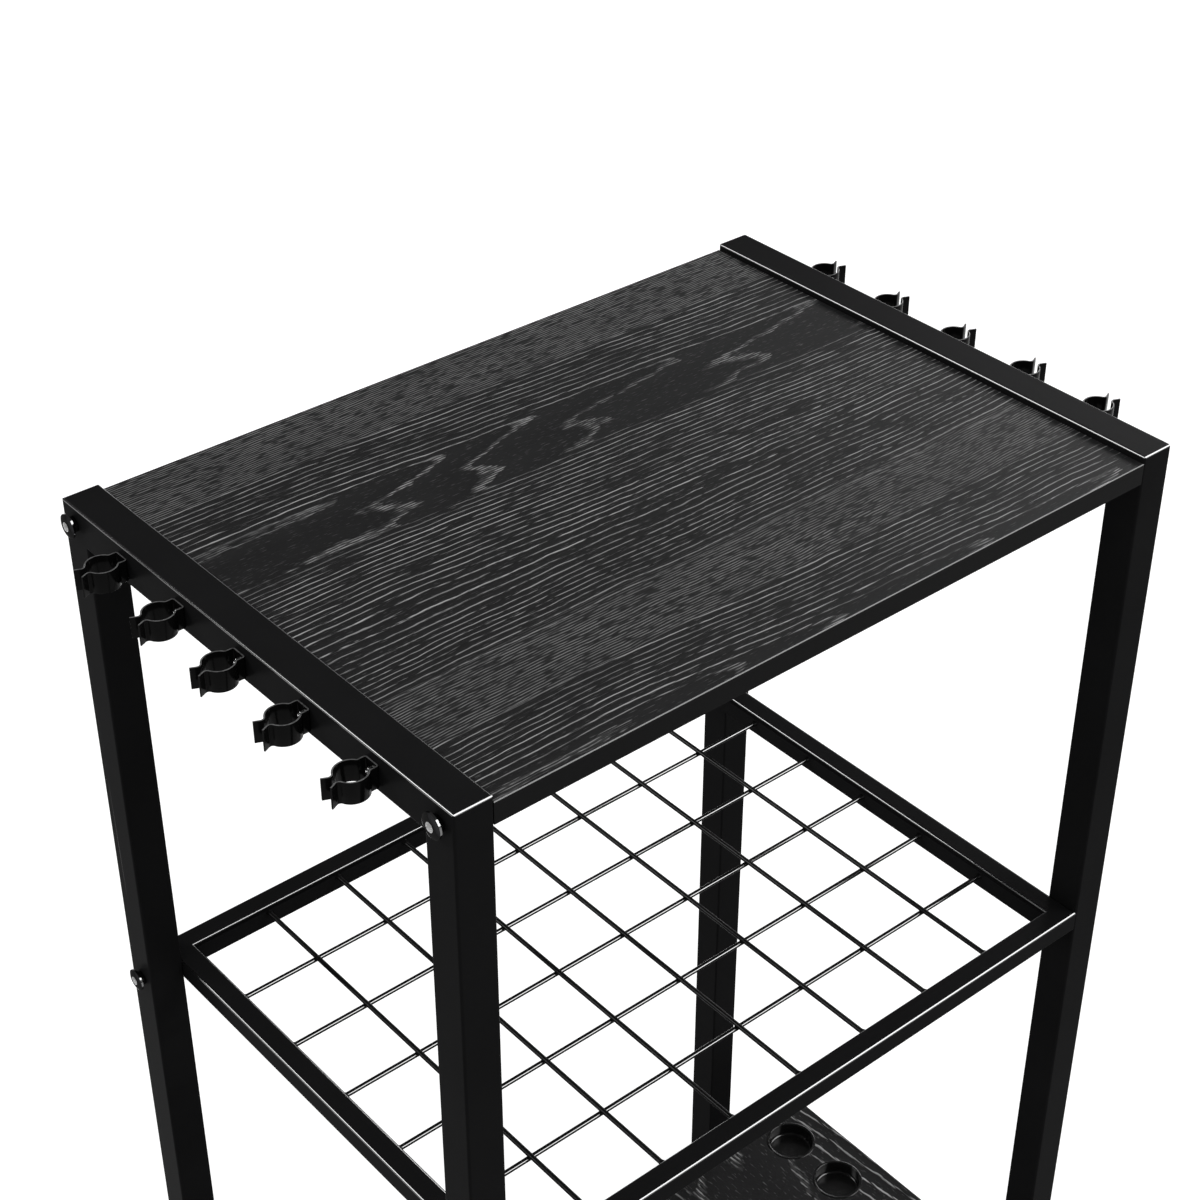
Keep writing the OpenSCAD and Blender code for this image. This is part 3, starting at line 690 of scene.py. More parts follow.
def grained_board(name, node, finish, turned):
    """A board with pale pores on its faces and plain black edges. A turned one has its grain along Y."""
    material, sheet, shader = new_material(name)
    lo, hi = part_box(node)
    axes = sheet.parts(sheet.place())
    if turned:
        flat = sheet.vector(axes[1], sheet.math("MULTIPLY_ADD", axes[0], TURNED_WIDTH, TURNED_SHIFT))
    else:
        flat = sheet.vector(axes[0], axes[1])
    grain = sheet.group("oak_grain", oak_grain_group, {"Place": flat})
    from_middle = sheet.math("ABSOLUTE", sheet.math("SUBTRACT", axes[2], (lo.z + hi.z) / 2))
    on_face = sheet.math("GREATER_THAN", from_middle, (hi.z - lo.z) / 2 - FACE_DEPTH)
    ground = sheet.shaded(grain["Tone"], 0.5, 1.5, finish.board, 0.55, 1.5)
    ground = sheet.mix(on_face, colour4(finish.board, 0.6), ground)
    pores = sheet.math("MULTIPLY", grain["Pores"], on_face)
    sheet.put(shader.inputs["Base Color"], sheet.mix(pores, ground, colour4(finish.pores)))
    sheet.put(shader.inputs["Roughness"], sheet.ramp(pores, 0.0, 1.0, 0.42, 0.6, smooth=False))
    height = sheet.math("MULTIPLY", grain["Height"], on_face)
    sheet.put(shader.inputs["Normal"], sheet.bump(height, PORE_DEPTH))
    shader.inputs["Specular IOR Level"].default_value = 0.015
    gloss_where(sheet, shader, "top_edge", 0.25)
    return material


def plain_coat(colour, **values):
    """How a coated finish is made, with its colour named as in the settings."""
    return lambda name, finish: coated(name, getattr(finish, colour), **values)


def plain_metal(colour, **values):
    """How a metal finish is made, with its colour named as in the settings."""
    return lambda name, finish: metal(name, getattr(finish, colour), **values)


# How each of the record's slots is finished. The boards have their own materials.
FINISHES = {
    "black_tube": lambda name, finish: coated(
        name, finish.powder, finish.powder_gloss, specular=0.0035, edges="top_edge"),
    "black_wire": plain_coat(
        "wire", roughness=0.35, specular=0.02, grain=1500.0, relief=0.0000008, edges="upper_side"),
    "black_spring": spring_strip,
    "cup_plastic": plain_coat(
        "cup", roughness=0.18, specular=0.4, grain=700.0, relief=0.000004, spread=0.05),
    "plug_plastic": plain_coat("plug", roughness=0.5, specular=0.35, grain=2200.0, relief=0.00002),
    "pad_rubber": plain_coat("rubber", roughness=0.62, specular=0.3, grain=1800.0, relief=0.00002),
    "dark_chrome": bolt_black,
    "bright_screw": plain_metal("bright", roughness=0.12, spread=0.06, relief=0.000001),
    "zinc_steel": plain_metal("zinc", roughness=0.33),
    "brass": plain_metal("brass", roughness=0.28),
}


def material_for(slot):
    """The material of one of the record's slots, made when it is first asked for."""
    name = f"{slot}_finish"
    finish = bpy.context.scene.rod_rack.finish
    return bpy.data.materials.get(name) or FINISHES[slot](name, finish)


# Meshes built from rings of points

SEGMENTS = 48
SEAM = 2 * math.pi / SEGMENTS
# Rings for each turn of a thread, and how steep its groove is
THREAD_STEPS = 6
GROOVE_SLOPE = 2.6
# Rings of a round screw head and of a domed bolt head, from rim to top
HEAD_STEPS = 12
DOME_STEPS = 8
# Faces that meet at less than this are shaded as one
SMOOTH_ANGLE = math.radians(32)


def circle(radius):
    """A circle, as the same radius for each angle."""
    return lambda angle: radius


def hexagon(flats):
    """A hexagon of that size across its flats, as a radius for each angle."""
    return lambda angle: flats / 2 / math.cos((angle % (math.pi / 3)) - math.pi / 6)


def rounded_hexagon(flats, corner):
    """A hexagon with rounded corners, as a radius for each angle."""
    centre = (flats / 2 - corner) / math.cos(math.pi / 6)
    reach = math.atan2(corner / 2, centre + corner * math.cos(math.pi / 6))

    def radius(angle):
        turn = abs((angle + math.pi / 6) % (math.pi / 3) - math.pi / 6)
        if turn > reach:
            return flats / 2 / math.cos(math.pi / 6 - turn)
        return centre * math.cos(turn) + math.sqrt(corner ** 2 - (centre * math.sin(turn)) ** 2)
    return radius


def cross(reach, width):
    """A cross of two bars, as a radius for each angle."""
    def radius(angle):
        c, s = abs(math.cos(angle)) + 1e-9, abs(math.sin(angle)) + 1e-9
        return max(min(reach / c, width / 2 / s), min(width / 2 / c, reach / s))
    return radius


def ring(outline, z):
    """A ring of points at a height. The outline is a radius, or a function from an angle to a radius."""
    radius = outline if callable(outline) else circle(outline)
    return [Vector((radius(k * SEAM) * math.cos(k * SEAM), radius(k * SEAM) * math.sin(k * SEAM), z))
            for k in range(SEGMENTS)]


def quarter(steps):
    """Angles of a quarter turn in equal steps, both ends included."""
    return [math.pi / 2 * k / steps for k in range(steps + 1)]


def thread(radius, depth, pitch, low, high):
    """Rings of a screw thread about Z, which runs out over half a turn at both ends."""
    rings = []
    count = max(2, round((high - low) / pitch * THREAD_STEPS))
    for j in range(count + 1):
        z = low + (high - low) * j / count
        fade = min(1.0, (z - low) / pitch * 2, (high - z) / pitch * 2)
        points = []
        for k in range(SEGMENTS):
            turn = (z / pitch - k / SEGMENTS) % 1.0
            groove = max(0.0, 1 - abs(turn - 0.5) * GROOVE_SLOPE)
            r = radius - depth * groove * fade
            points.append(Vector((r * math.cos(k * SEAM), r * math.sin(k * SEAM), z)))
        rings.append(points)
    return rings


def skin(rings):
    """A closed mesh over rings of points, capped at its first and last ring."""
    made = bmesh.new()
    loops = [[made.verts.new(point) for point in points] for points in rings]
    for one, other in zip(loops, loops[1:]):
        for k in range(SEGMENTS):
            n = (k + 1) % SEGMENTS
            made.faces.new((one[k], one[n], other[n], other[k]))
    for loop in (loops[0], loops[-1]):
        centre = made.verts.new(sum((v.co for v in loop), Vector()) / SEGMENTS)
        for k in range(SEGMENTS):
            made.faces.new((loop[k], loop[(k + 1) % SEGMENTS], centre))
    bmesh.ops.recalc_face_normals(made, faces=made.faces)
    mesh = bpy.data.meshes.new("skin")
    made.to_mesh(mesh)
    made.free()
    return mesh


def dome_rings(diameter, height, flat):
    """Rings of a round head from its rim up to a flat of that radius."""
    radius = diameter / 2
    edge = height * 0.12
    rings = [ring(radius - edge * 0.6, 0)]
    for angle in quarter(HEAD_STEPS):
        reach = flat + (radius - flat) * math.cos(angle)
        rings.append(ring(reach, edge + (height - edge) * math.sin(angle)))
    return rings


# Turning templates into pieces

def on_row(template, name, slot, count, pitch, out, height):
    """Copies a template in a row along Y on each side. It is modelled as on the right-hand side."""
    tree = build_once("both_sides", both_sides_tree)
    base = bpy.data.objects.new(name, template)
    bpy.context.scene.collection.objects.link(base)
    return through_nodes(base, name, tree, {
        "Count": count, "Pitch": pitch, "Out": out, "Height": height, "Finish": material_for(slot),
    })


def through_nodes(base, name, tree, values):
    """Runs an object through a geometry node tree and returns the result as a plain mesh object."""
    modifier = base.modifiers.new("build", "NODES")
    modifier.node_group = tree
    for item in tree.interface.items_tree:
        if item.item_type == "SOCKET" and item.in_out == "INPUT" and item.name in values:
            modifier[item.identifier] = values[item.name]
    bpy.context.view_layer.update()
    depsgraph = bpy.context.evaluated_depsgraph_get()
    mesh = bpy.data.meshes.new_from_object(base.evaluated_get(depsgraph), depsgraph=depsgraph)
    base.modifiers.remove(modifier)
    old = base.data
    bpy.data.objects.remove(base)
    if old.users == 0:
        (bpy.data.curves if isinstance(old, bpy.types.Curve) else bpy.data.meshes).remove(old)
    return new_piece(mesh, name)


def new_piece(mesh, name):
    """An object at the origin that holds a mesh, both with the same name."""
    mesh.name = name
    piece = bpy.data.objects.new(name, mesh)
    bpy.context.scene.collection.objects.link(piece)
    return piece


def seat(piece, body, slot, *nodes):
    """Joins a finished piece to its body and its slot, in place of the frame's plain nodes."""
    if not piece.data.materials:
        piece.data.materials.append(material_for(slot))
    piece.data.shade_smooth()
    piece.data.set_sharp_from_angle(angle=SMOOTH_ANGLE)
    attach(piece, body)
    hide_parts(*nodes)


def finished(sheet, given, out, last):
    """Ends a geometry tree: its instances become real meshes with their material. Returns the tree."""
    real = sheet.add("GeometryNodeRealizeInstances", {0: last.outputs[0]})
    done = sheet.add("GeometryNodeSetMaterial", {"Geometry": real.outputs[0], "Material": given["Finish"]})
    sheet.put(out.inputs["Geometry"], done.outputs[0])
    return sheet.tree


# Turns a row on the right-hand side round to the left, or a weld at a wire's end to its other end
HALF_TURN = (0.0, 0.0, math.pi)


def both_sides_tree(name):
    """A row of copies along Y on the right-hand side, and the same row turned round for the left."""
    sheet, given, out = new_group(name, "GeometryNodeTree", [
        ("Geometry", "NodeSocketGeometry", None),
        ("Count", "NodeSocketInt", 5),
        ("Pitch", "NodeSocketFloat", 0.06),
        ("Out", "NodeSocketFloat", 0.275),
        ("Height", "NodeSocketFloat", 0.5),
        ("Finish", "NodeSocketMaterial", None),
    ], [("Geometry", "NodeSocketGeometry")])
    steps = sheet.math("MULTIPLY", sheet.math("SUBTRACT", given["Count"], 1.0), -0.5)
    line = sheet.add("GeometryNodeMeshLine", {
        "Count": given["Count"],
        "Start Location": sheet.vector(y=sheet.math("MULTIPLY", steps, given["Pitch"])),
        "Offset": sheet.vector(y=given["Pitch"]),
    })
    row = sheet.add("GeometryNodeInstanceOnPoints", {
        "Points": line.outputs[0], "Instance": given["Geometry"],
    }).outputs[0]
    place = sheet.vector(x=given["Out"], z=given["Height"])
    right = sheet.add("GeometryNodeTransform", {"Geometry": row, "Translation": place}).outputs[0]
    left = sheet.add("GeometryNodeTransform", {"Geometry": right, "Rotation": HALF_TURN}).outputs[0]
    both = sheet.add("GeometryNodeJoinGeometry")
    sheet.put(both.inputs[0], right)
    sheet.put(both.inputs[0], left)
    return finished(sheet, given, out, both)


# Sides of a wire's section, its weld cone's radii as shares of the wire's, and how flat a weld nugget is
WIRE_SIDES = 20
CONE_TOP = 1.02
CONE_FOOT = 1.45
NUGGET_HEIGHT = 0.42


def wire_mesh_tree(name):
    """Two layers of straight wires between the shelf's strips, with welds where they cross and end."""
    sheet, given, out = new_group(name, "GeometryNodeTree", [
        ("Geometry", "NodeSocketGeometry", None),
        ("Length X", "NodeSocketFloat", 0.47),
        ("Length Y", "NodeSocketFloat", 0.35),
        ("Cells X", "NodeSocketInt", 8),
        ("Cells Y", "NodeSocketInt", 6),
        ("Wire", "NodeSocketFloat", 0.0034),
        ("Upper Z", "NodeSocketFloat", 0.577),
        ("Lower Z", "NodeSocketFloat", 0.575),
        ("Nugget", "NodeSocketFloat", 0.0042),
        ("Fillet", "NodeSocketFloat", 0.0022),
        ("Finish", "NodeSocketMaterial", None),
    ], [("Geometry", "NodeSocketGeometry")])
    half_wire = sheet.math("MULTIPLY", given["Wire"], 0.5)

    def on_axis(axis, value, z=None):
        """A vector along one axis, at a height."""
        return sheet.vector(**{"xy"[axis]: value}, z=z)

    def one_wire(run, length):
        """A wire along an axis, with a weld cone at both ends."""
        low, high = sheet.math("MULTIPLY", length, -0.5), sheet.math("MULTIPLY", length, 0.5)
        line = sheet.add("GeometryNodeCurvePrimitiveLine", {
            "Start": on_axis(run, low), "End": on_axis(run, high),
        })
        section = sheet.add("GeometryNodeCurvePrimitiveCircle", {
            "Resolution": WIRE_SIDES, "Radius": half_wire,
        })
        wire = sheet.add("GeometryNodeCurveToMesh", {
            "Curve": line.outputs[0], "Profile Curve": section.outputs[0], "Fill Caps": True,
        })
        cone = sheet.add("GeometryNodeMeshCone", {
            "Vertices": WIRE_SIDES, "Depth": given["Fillet"],
            "Radius Top": sheet.math("MULTIPLY", half_wire, CONE_TOP),
            "Radius Bottom": sheet.math("MULTIPLY", half_wire, CONE_FOOT),
        }).outputs["Mesh"]
        both = sheet.add("GeometryNodeJoinGeometry")
        sheet.put(both.inputs[0], wire.outputs[0])
        laid = (0.0, math.pi / 2, 0.0) if run == 0 else (-math.pi / 2, 0.0, 0.0)
        for end, turn in ((low, (0.0, 0.0, 0.0)), (high, HALF_TURN)):
            weld = sheet.add("GeometryNodeTransform", {"Geometry": cone, "Rotation": laid}).outputs[0]
            weld = sheet.add("GeometryNodeTransform", {
                "Geometry": weld, "Rotation": turn, "Translation": on_axis(run, end),
            }).outputs[0]
            sheet.put(both.inputs[0], weld)
        return both.outputs[0]

    def layer(run, length, width, cells, z):
        """Wires along one axis, spaced along the other. Returns them, their count and their pitch."""
        pitch = sheet.math("DIVIDE", width, cells)
        first = sheet.math("MULTIPLY_ADD", width, -0.5, pitch)
        count = sheet.math("SUBTRACT", cells, 1.0)
        places = sheet.add("GeometryNodeMeshLine", {
            "Count": count, "Start Location": on_axis(1 - run, first, z), "Offset": on_axis(1 - run, pitch),
        })
        wires = sheet.add("GeometryNodeInstanceOnPoints", {
            "Points": places.outputs[0], "Instance": one_wire(run, length),
        })
        return wires.outputs[0], count, pitch

    size_x, size_y = given["Length X"], given["Length Y"]
    upper, count_x, pitch_x = layer(1, size_y, size_x, given["Cells X"], given["Upper Z"])
    lower, count_y, pitch_y = layer(0, size_x, size_y, given["Cells Y"], given["Lower Z"])
    crossings = sheet.add("GeometryNodeMeshGrid", {
        "Size X": sheet.math("MULTIPLY", pitch_x, sheet.math("SUBTRACT", count_x, 1.0)),
        "Size Y": sheet.math("MULTIPLY", pitch_y, sheet.math("SUBTRACT", count_y, 1.0)),
        "Vertices X": count_x, "Vertices Y": count_y,
    })
    middle_z = sheet.math("MULTIPLY", sheet.math("ADD", given["Upper Z"], given["Lower Z"]), 0.5)
    lifted = sheet.add("GeometryNodeTransform", {
        "Geometry": crossings.outputs[0], "Translation": sheet.vector(z=middle_z),
    })
    ball = sheet.add("GeometryNodeMeshIcoSphere", {
        "Radius": sheet.math("MULTIPLY", given["Nugget"], 0.5), "Subdivisions": 3,
    })
    bead = sheet.add("GeometryNodeTransform", {
        "Geometry": ball.outputs[0], "Scale": (1.0, 1.0, NUGGET_HEIGHT),
    })
    welds = sheet.add("GeometryNodeInstanceOnPoints", {
        "Points": lifted.outputs[0], "Instance": bead.outputs[0],
    })
    joined = sheet.add("GeometryNodeJoinGeometry")
    for part in (upper, lower, welds.outputs[0]):
        sheet.put(joined.inputs[0], part)
    return finished(sheet, given, out, joined)


def bent_strip_tree(name):
    """Strip of rounded section bent along a curve, which lies flat with the strip on edge."""
    sheet, given, out = new_group(name, "GeometryNodeTree", [
        ("Geometry", "NodeSocketGeometry", None),
        ("Thickness", "NodeSocketFloat", 0.001),
        ("Height", "NodeSocketFloat", 0.014),
        ("Edge radius", "NodeSocketFloat", 0.0002),
        ("Finish", "NodeSocketMaterial", None),
    ], [("Geometry", "NodeSocketGeometry")])
    upright = sheet.add("GeometryNodeSetCurveNormal", {"Curve": given["Geometry"]}, mode="Z_UP").outputs[0]
    section = sheet.add("GeometryNodeCurvePrimitiveQuadrilateral", {
        "Width": given["Thickness"], "Height": given["Height"],
    })
    rounded = sheet.add("GeometryNodeFilletCurve", {
        "Curve": section.outputs[0], "Radius": given["Edge radius"], "Count": 3, "Limit Radius": True,
    }, mode="POLY")
    strip = sheet.add("GeometryNodeCurveToMesh", {
        "Curve": upright, "Profile Curve": rounded.outputs[0], "Fill Caps": True,
    })
    return finished(sheet, given, out, strip)


# Shapes of the pieces

ARC_STEP = math.radians(7)
SAME_POINT = 1e-6


def arc(centre, radius, start, end):
    """Points of an arc about a centre, both ends included."""
    steps = max(4, round(abs(end - start) / ARC_STEP))
    return [Vector((centre[0] + radius * math.cos(start + (end - start) * k / steps),
                    centre[1] + radius * math.sin(start + (end - start) * k / steps), 0.0))
            for k in range(steps + 1)]


def clip_path(size):
    """Middle line of the bent strip: base, legs, flares, loop, necks and lips, tangent to each other."""
    half = size.strip / 2
    leg_y = size.base / 2 - half
    loop_r = size.bore / 2 + half
    loop_x = size.standoff + size.bore / 2
    flare_y = leg_y + size.flare
    flare_r = loop_r + size.flare
    flare_turn = math.pi - math.asin(flare_y / flare_r)
    flare = (loop_x + flare_r * math.cos(flare_turn), flare_y)
    neck_r = loop_r + size.neck
    neck_turn = math.asin((size.mouth / 2 + half + size.neck) / neck_r)
    neck = (loop_x + neck_r * math.cos(neck_turn), neck_r * math.sin(neck_turn))
    right_angle = math.pi / 2
    side = [Vector((half, 0.0, 0.0))]
    side += arc((half + size.base_bend, leg_y - size.base_bend), size.base_bend, math.pi, right_angle)
    side += arc(flare, size.flare, 3 * right_angle, flare_turn + math.pi)
    side += arc((loop_x, 0.0), loop_r, flare_turn, neck_turn)
    side += arc(neck, size.neck, neck_turn + math.pi, 3 * right_angle + size.lip_angle)
    along = Vector((math.cos(size.lip_angle), math.sin(size.lip_angle), 0.0))
    side.append(side[-1] + along * size.lip)
    other = [Vector((p.x, -p.y, 0.0)) for p in reversed(side[1:])]
    path = other + side
    return [p for k, p in enumerate(path) if k == 0 or (p - path[k - 1]).length > SAME_POINT]


def clip_template(size):
    """One clip, its base against x = 0 and its mouth towards +X."""
    line = bpy.data.curves.new("clip_line", "CURVE")
    line.dimensions = "3D"
    points = clip_path(size)
    spline = line.splines.new("POLY")
    spline.points.add(len(points) - 1)
    for place, point in zip(spline.points, points):
        place.co = (*point, 1.0)
    base = bpy.data.objects.new("clip_line", line)
    bpy.context.scene.collection.objects.link(base)
    piece = through_nodes(base, "clip_template", build_once("bent_strip", bent_strip_tree), {
        "Thickness": size.strip, "Height": size.height, "Edge radius": size.corner,
        "Finish": material_for("black_spring"),
    })
    mesh = piece.data
    bpy.data.objects.remove(piece)
    return mesh


# How far a cup's wall stays clear of its hole, and the chamfer round its floor
CUP_CLEARANCE = 0.0001
CUP_CHAMFER = 0.001


def cup_template(size):
    """One cup: lip on the board, wall, rounded floor corner and floor, with z = 0 on the board's top."""
    outer = size.hole / 2 - CUP_CLEARANCE
    lip_r = size.hole / 2 + size.lip
    lip = size.lip_height
    inside = -size.depth
    bottom = inside - size.floor
    rings = [ring(size.inner * 0.5, inside)]
    rings += [ring(size.inner + size.round * (math.sin(a) - 1), inside + size.round * (1 - math.cos(a)))
              for a in quarter(6)]
    rings += [ring(size.inner + lip * (1 - math.cos(a)), lip * math.sin(a)) for a in quarter(5)]
    rings += [ring(lip_r + lip * (math.cos(a) - 1), lip * math.sin(a)) for a in reversed(quarter(5))]
    rings += [ring(outer, 0.0), ring(outer, bottom + CUP_CHAMFER), ring(outer - CUP_CHAMFER, bottom)]
    return skin(rings)


def turned_out(mesh):
    """Turns a mesh that stands along Z so that its top points along +X."""
    mesh.transform(Matrix.Rotation(math.pi / 2, 4, "Y"))
    return mesh


def domed_bolt(size, length):
    """A frame bolt with a six-sided collar, domed head and hexagon socket, its collar's foot at z = 0."""
    chamfer = 0.0004
    bevel = 0.0003
    tuck = 0.0006
    root = size.bolt / 2 - size.bolt_pitch * 0.6
    thread_depth = size.bolt_pitch * 0.55
    thread_end = -length * 0.3
    shoulder = size.collar * 0.585
    widest = size.head / 2
    flat = size.key * 0.62
    drill_point = size.key * 0.3
    base = size.collar_height
    rim = base + size.rim
    top = base + size.head_height
    socket_floor = top - size.head_height * 0.9
    collar = rounded_hexagon(size.collar, size.collar_corner)
    collar_end = rounded_hexagon(size.collar - 2 * chamfer, size.collar_corner - chamfer / 2)
    rings = [ring(root, -length)]
    rings += thread(size.bolt / 2, thread_depth, size.bolt_pitch, -length, thread_end)
    rings += [
        ring(size.bolt / 2, -chamfer / 2),
        ring(collar_end, 0.0),
        ring(collar, chamfer),
        ring(collar, base - chamfer / 2),
        ring(shoulder, base),
        ring(widest - tuck, base + chamfer / 4),
        ring(widest, base + tuck),
    ]
    for j in range(DOME_STEPS + 1):
        way = 1 - j / DOME_STEPS
        rings.append(ring(flat + (widest - flat) * way, rim + (top - rim) * (1 - way ** 2)))
    rings += [
        ring(hexagon(size.key + 2 * bevel), top),
        ring(hexagon(size.key), top - bevel),
        ring(hexagon(size.key), socket_floor),
        ring(drill_point, socket_floor - bevel),
    ]
    return skin(rings)


# How wide a screw's cross recess is, as a share of its head
CLIP_RECESS = 0.62
BOARD_RECESS = 0.6


def cross_screw(diameter, pitch, length, head, height, recess):
    """A round head screw with a cross recess, its head's underside at z = 0."""
    point = diameter * 0.1
    tip = diameter * 0.4
    thread_depth = pitch * 0.42
    run_out = 0.0004
    bevel = 0.0001
    flat = recess * 0.75
    wall_depth = recess * 0.34
    full_depth = recess * 0.42
    rings = [ring(point, -length)]
    rings += thread(diameter / 2, thread_depth, pitch, tip - length, -run_out)
    rings += dome_rings(head, height, flat)
    rings += [
        ring(cross(recess * 0.52, recess * 0.3), height),
        ring(cross(recess * 0.5, recess * 0.26), height - bevel),
        ring(cross(recess * 0.3, recess * 0.2), height - wall_depth),
        ring(recess * 0.04, height - full_depth),
    ]
    return skin(rings)


def moved(mesh, place):
    """Moves a mesh that was made on the Z axis to its place on the floor."""
    mesh.transform(Matrix.Translation((place.x, place.y, 0.0)))
    return mesh


def stem_mesh(size, lo, hi, place):
    """A foot's stem: swivel button, neck, chamfered hexagon and thread."""
    chamfer = 0.0003
    button = size.stem / 2 + 0.0006
    button_top = lo.z + 0.0024
    neck = button - 0.0014
    hex_low = lo.z + 0.0048
    hex_high = hex_low + size.hexagon
    thread_depth = size.pitch * 0.5
    thread_top = hi.z - 0.0006
    tip = size.stem / 2 - 0.0008
    flats = hexagon(size.spanner)
    limits = (size.spanner * 0.49, size.spanner * 0.53, size.spanner / 2 / math.cos(math.pi / 6))

    def chamfered(limit):
        return lambda angle: min(flats(angle), limit)

    rings = [ring(button - chamfer, lo.z), ring(button, lo.z + chamfer), ring(button, button_top - chamfer),
             ring(button - chamfer, button_top), ring(neck, button_top), ring(neck, hex_low)]
    rings += [ring(chamfered(limit), hex_low + k * chamfer) for k, limit in enumerate(limits)]
    rings += [ring(chamfered(limits[k]), hex_high - k * chamfer) for k in (2, 1, 0)]
    rings += thread(size.stem / 2, thread_depth, size.pitch, hex_high, thread_top)
    rings.append(ring(tip, hi.z))
    return moved(skin(rings), place)


# A pad's profile: how far its edges are rounded, and how deep its ribs, its grooves and its mouth are
PAD_EDGE = 0.0003
PAD_RIB = 0.0004
PAD_GROOVE = 0.0004
PAD_MOUTH = 0.002
# Heights above its sole: where its ribbed skirt starts, is deepest and ends, and where its slope starts
SKIRT_START = 0.0007
SKIRT_DEEPEST = 0.0022
SKIRT_END = 0.0031
SLOPE_START = 0.0033
SLOPE_STEPS = 4
# Radii at which the grooves of the sole start, as shares of the pad's
SOLE_GROOVES = (0.5, 0.68, 0.84)


def pad_mesh(size, lo, hi, place):
    """A foot's pad: ribbed skirt, sloping top with steps, mouth round the stem, and a grooved sole."""
    radius = (hi.x - lo.x) / 2
    top = radius * 0.68
    mouth = size.stem / 2 - 0.0007
    sole = lo.z

    def ribbed(r, depth):
        return lambda angle: r - depth * (0.5 - 0.5 * math.cos(angle * size.ribs)) ** 2

    rings = [ring(radius * 0.3, sole + PAD_GROOVE), ring(radius * 0.34, sole)]
    for share in SOLE_GROOVES:
        edge = radius * share
        rings += [ring(edge, sole), ring(edge + PAD_EDGE, sole + PAD_GROOVE),
                  ring(edge + 3 * PAD_EDGE, sole + PAD_GROOVE), ring(edge + 4 * PAD_EDGE, sole)]
    rings += [ring(radius - 0.0007, sole), ring(ribbed(radius, PAD_RIB / 2), sole + SKIRT_START),
              ring(ribbed(radius, PAD_RIB), sole + SKIRT_DEEPEST),
              ring(ribbed(radius - 0.0009, PAD_RIB / 2), sole + SKIRT_END)]
    foot, head = (radius - 0.0011, sole + SLOPE_START), (top + 0.0009, hi.z - 0.0006)
    for k in range(SLOPE_STEPS + 1):
        share = k / SLOPE_STEPS
        rings.append(ring(foot[0] + (head[0] - foot[0]) * share, foot[1] + (head[1] - foot[1]) * share))
    rings += [ring(top, hi.z - PAD_EDGE / 3), ring(top - PAD_EDGE, hi.z), ring(mouth + PAD_EDGE, hi.z),
              ring(mouth, hi.z - PAD_EDGE), ring(mouth, hi.z - PAD_MOUTH)]
    return moved(skin(rings), place)


# Operators

class RODRACK_OT_finish_frame(bpy.types.Operator):
    """Gives every tube, board, nut, insert and plug of the frame its finish"""
    bl_idname = "rodrack.finish_frame"
    bl_label = "Finish the frame"

    def execute(self, context):
        finish = context.scene.rod_rack.finish
        boards = {
            "top_board": grained_board("top_board_grain", "top_board", finish, False),
            "bottom_board": grained_board("lower_board_grain", "bottom_board", finish, True),
        }
        for part in frame["record"]["subparts"]:
            node = part["node"]
            mesh = NODES[node].data
            mesh.materials.clear()
            mesh.materials.append(boards.get(node) or material_for(part["material_slot"]))
        return {"FINISHED"}


class RODRACK_OT_add_shelf_mesh(bpy.types.Operator):
    """Makes the welded wire mesh of the shelf"""
    bl_idname = "rodrack.add_shelf_mesh"
    bl_label = "Mesh shelf"

    def execute(self, context):
        size = context.scene.rod_rack.shelf
        lo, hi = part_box("shelf_mesh")
        base = bpy.data.objects.new("shelf_wires", bpy.data.meshes.new("shelf_wires"))
        context.scene.collection.objects.link(base)
        piece = through_nodes(base, "shelf_wires", build_once("wire_mesh", wire_mesh_tree), {
            "Length X": hi.x - lo.x, "Length Y": hi.y - lo.y,
            "Cells X": size.cells_x, "Cells Y": size.cells_y,
            "Wire": size.wire, "Upper Z": hi.z - size.wire / 2, "Lower Z": lo.z + size.wire / 2,
            "Nugget": size.nugget, "Fillet": size.fillet, "Finish": material_for("black_wire"),
        })
        seat(piece, "rack", "black_wire", "shelf_mesh")
        return {"FINISHED"}


class RODRACK_OT_add_clips(bpy.types.Operator):
    """Makes the spring clips and their screws"""
    bl_idname = "rodrack.add_clips"
    bl_label = "Clips"

    def execute(self, context):
        settings = context.scene.rod_rack
        clip, screw = settings.clip, settings.fastener
        count, pitch = len(numbered("rod_clip_right_")), row_pitch("rod_clip_right_")
        clips = on_row(clip_template(clip), "rod_clips", "black_spring", count, pitch, FRAME_X, CLIP_Z)
        seat(clips, "rack", "black_spring", *numbered("rod_clip_"))
        shape = cross_screw(screw.clip_screw, screw.clip_screw_pitch, screw.clip_screw_length,
                            screw.clip_head, screw.clip_head_height, screw.clip_head * CLIP_RECESS)
        screws = on_row(turned_out(shape), "bright_clip_screws", "bright_screw", count, pitch,
                        FRAME_X + clip.strip, CLIP_Z)
        seat(screws, "rack", "bright_screw", "clip_screws")
        return {"FINISHED"}


class RODRACK_OT_add_cups(bpy.types.Operator):
    """Makes the cups in the lower board"""
    bl_idname = "rodrack.add_cups"
    bl_label = "Cups"

    def execute(self, context):
        size = context.scene.rod_rack.cup
        count, pitch = len(numbered("rod_cup_right_")), row_pitch("rod_cup_right_")
        cups = on_row(cup_template(size), "rod_cups", "cup_plastic", count, pitch, CUP_X, LOWER_TOP)
        seat(cups, "rack", "cup_plastic", *numbered("rod_cup_"))
        return {"FINISHED"}


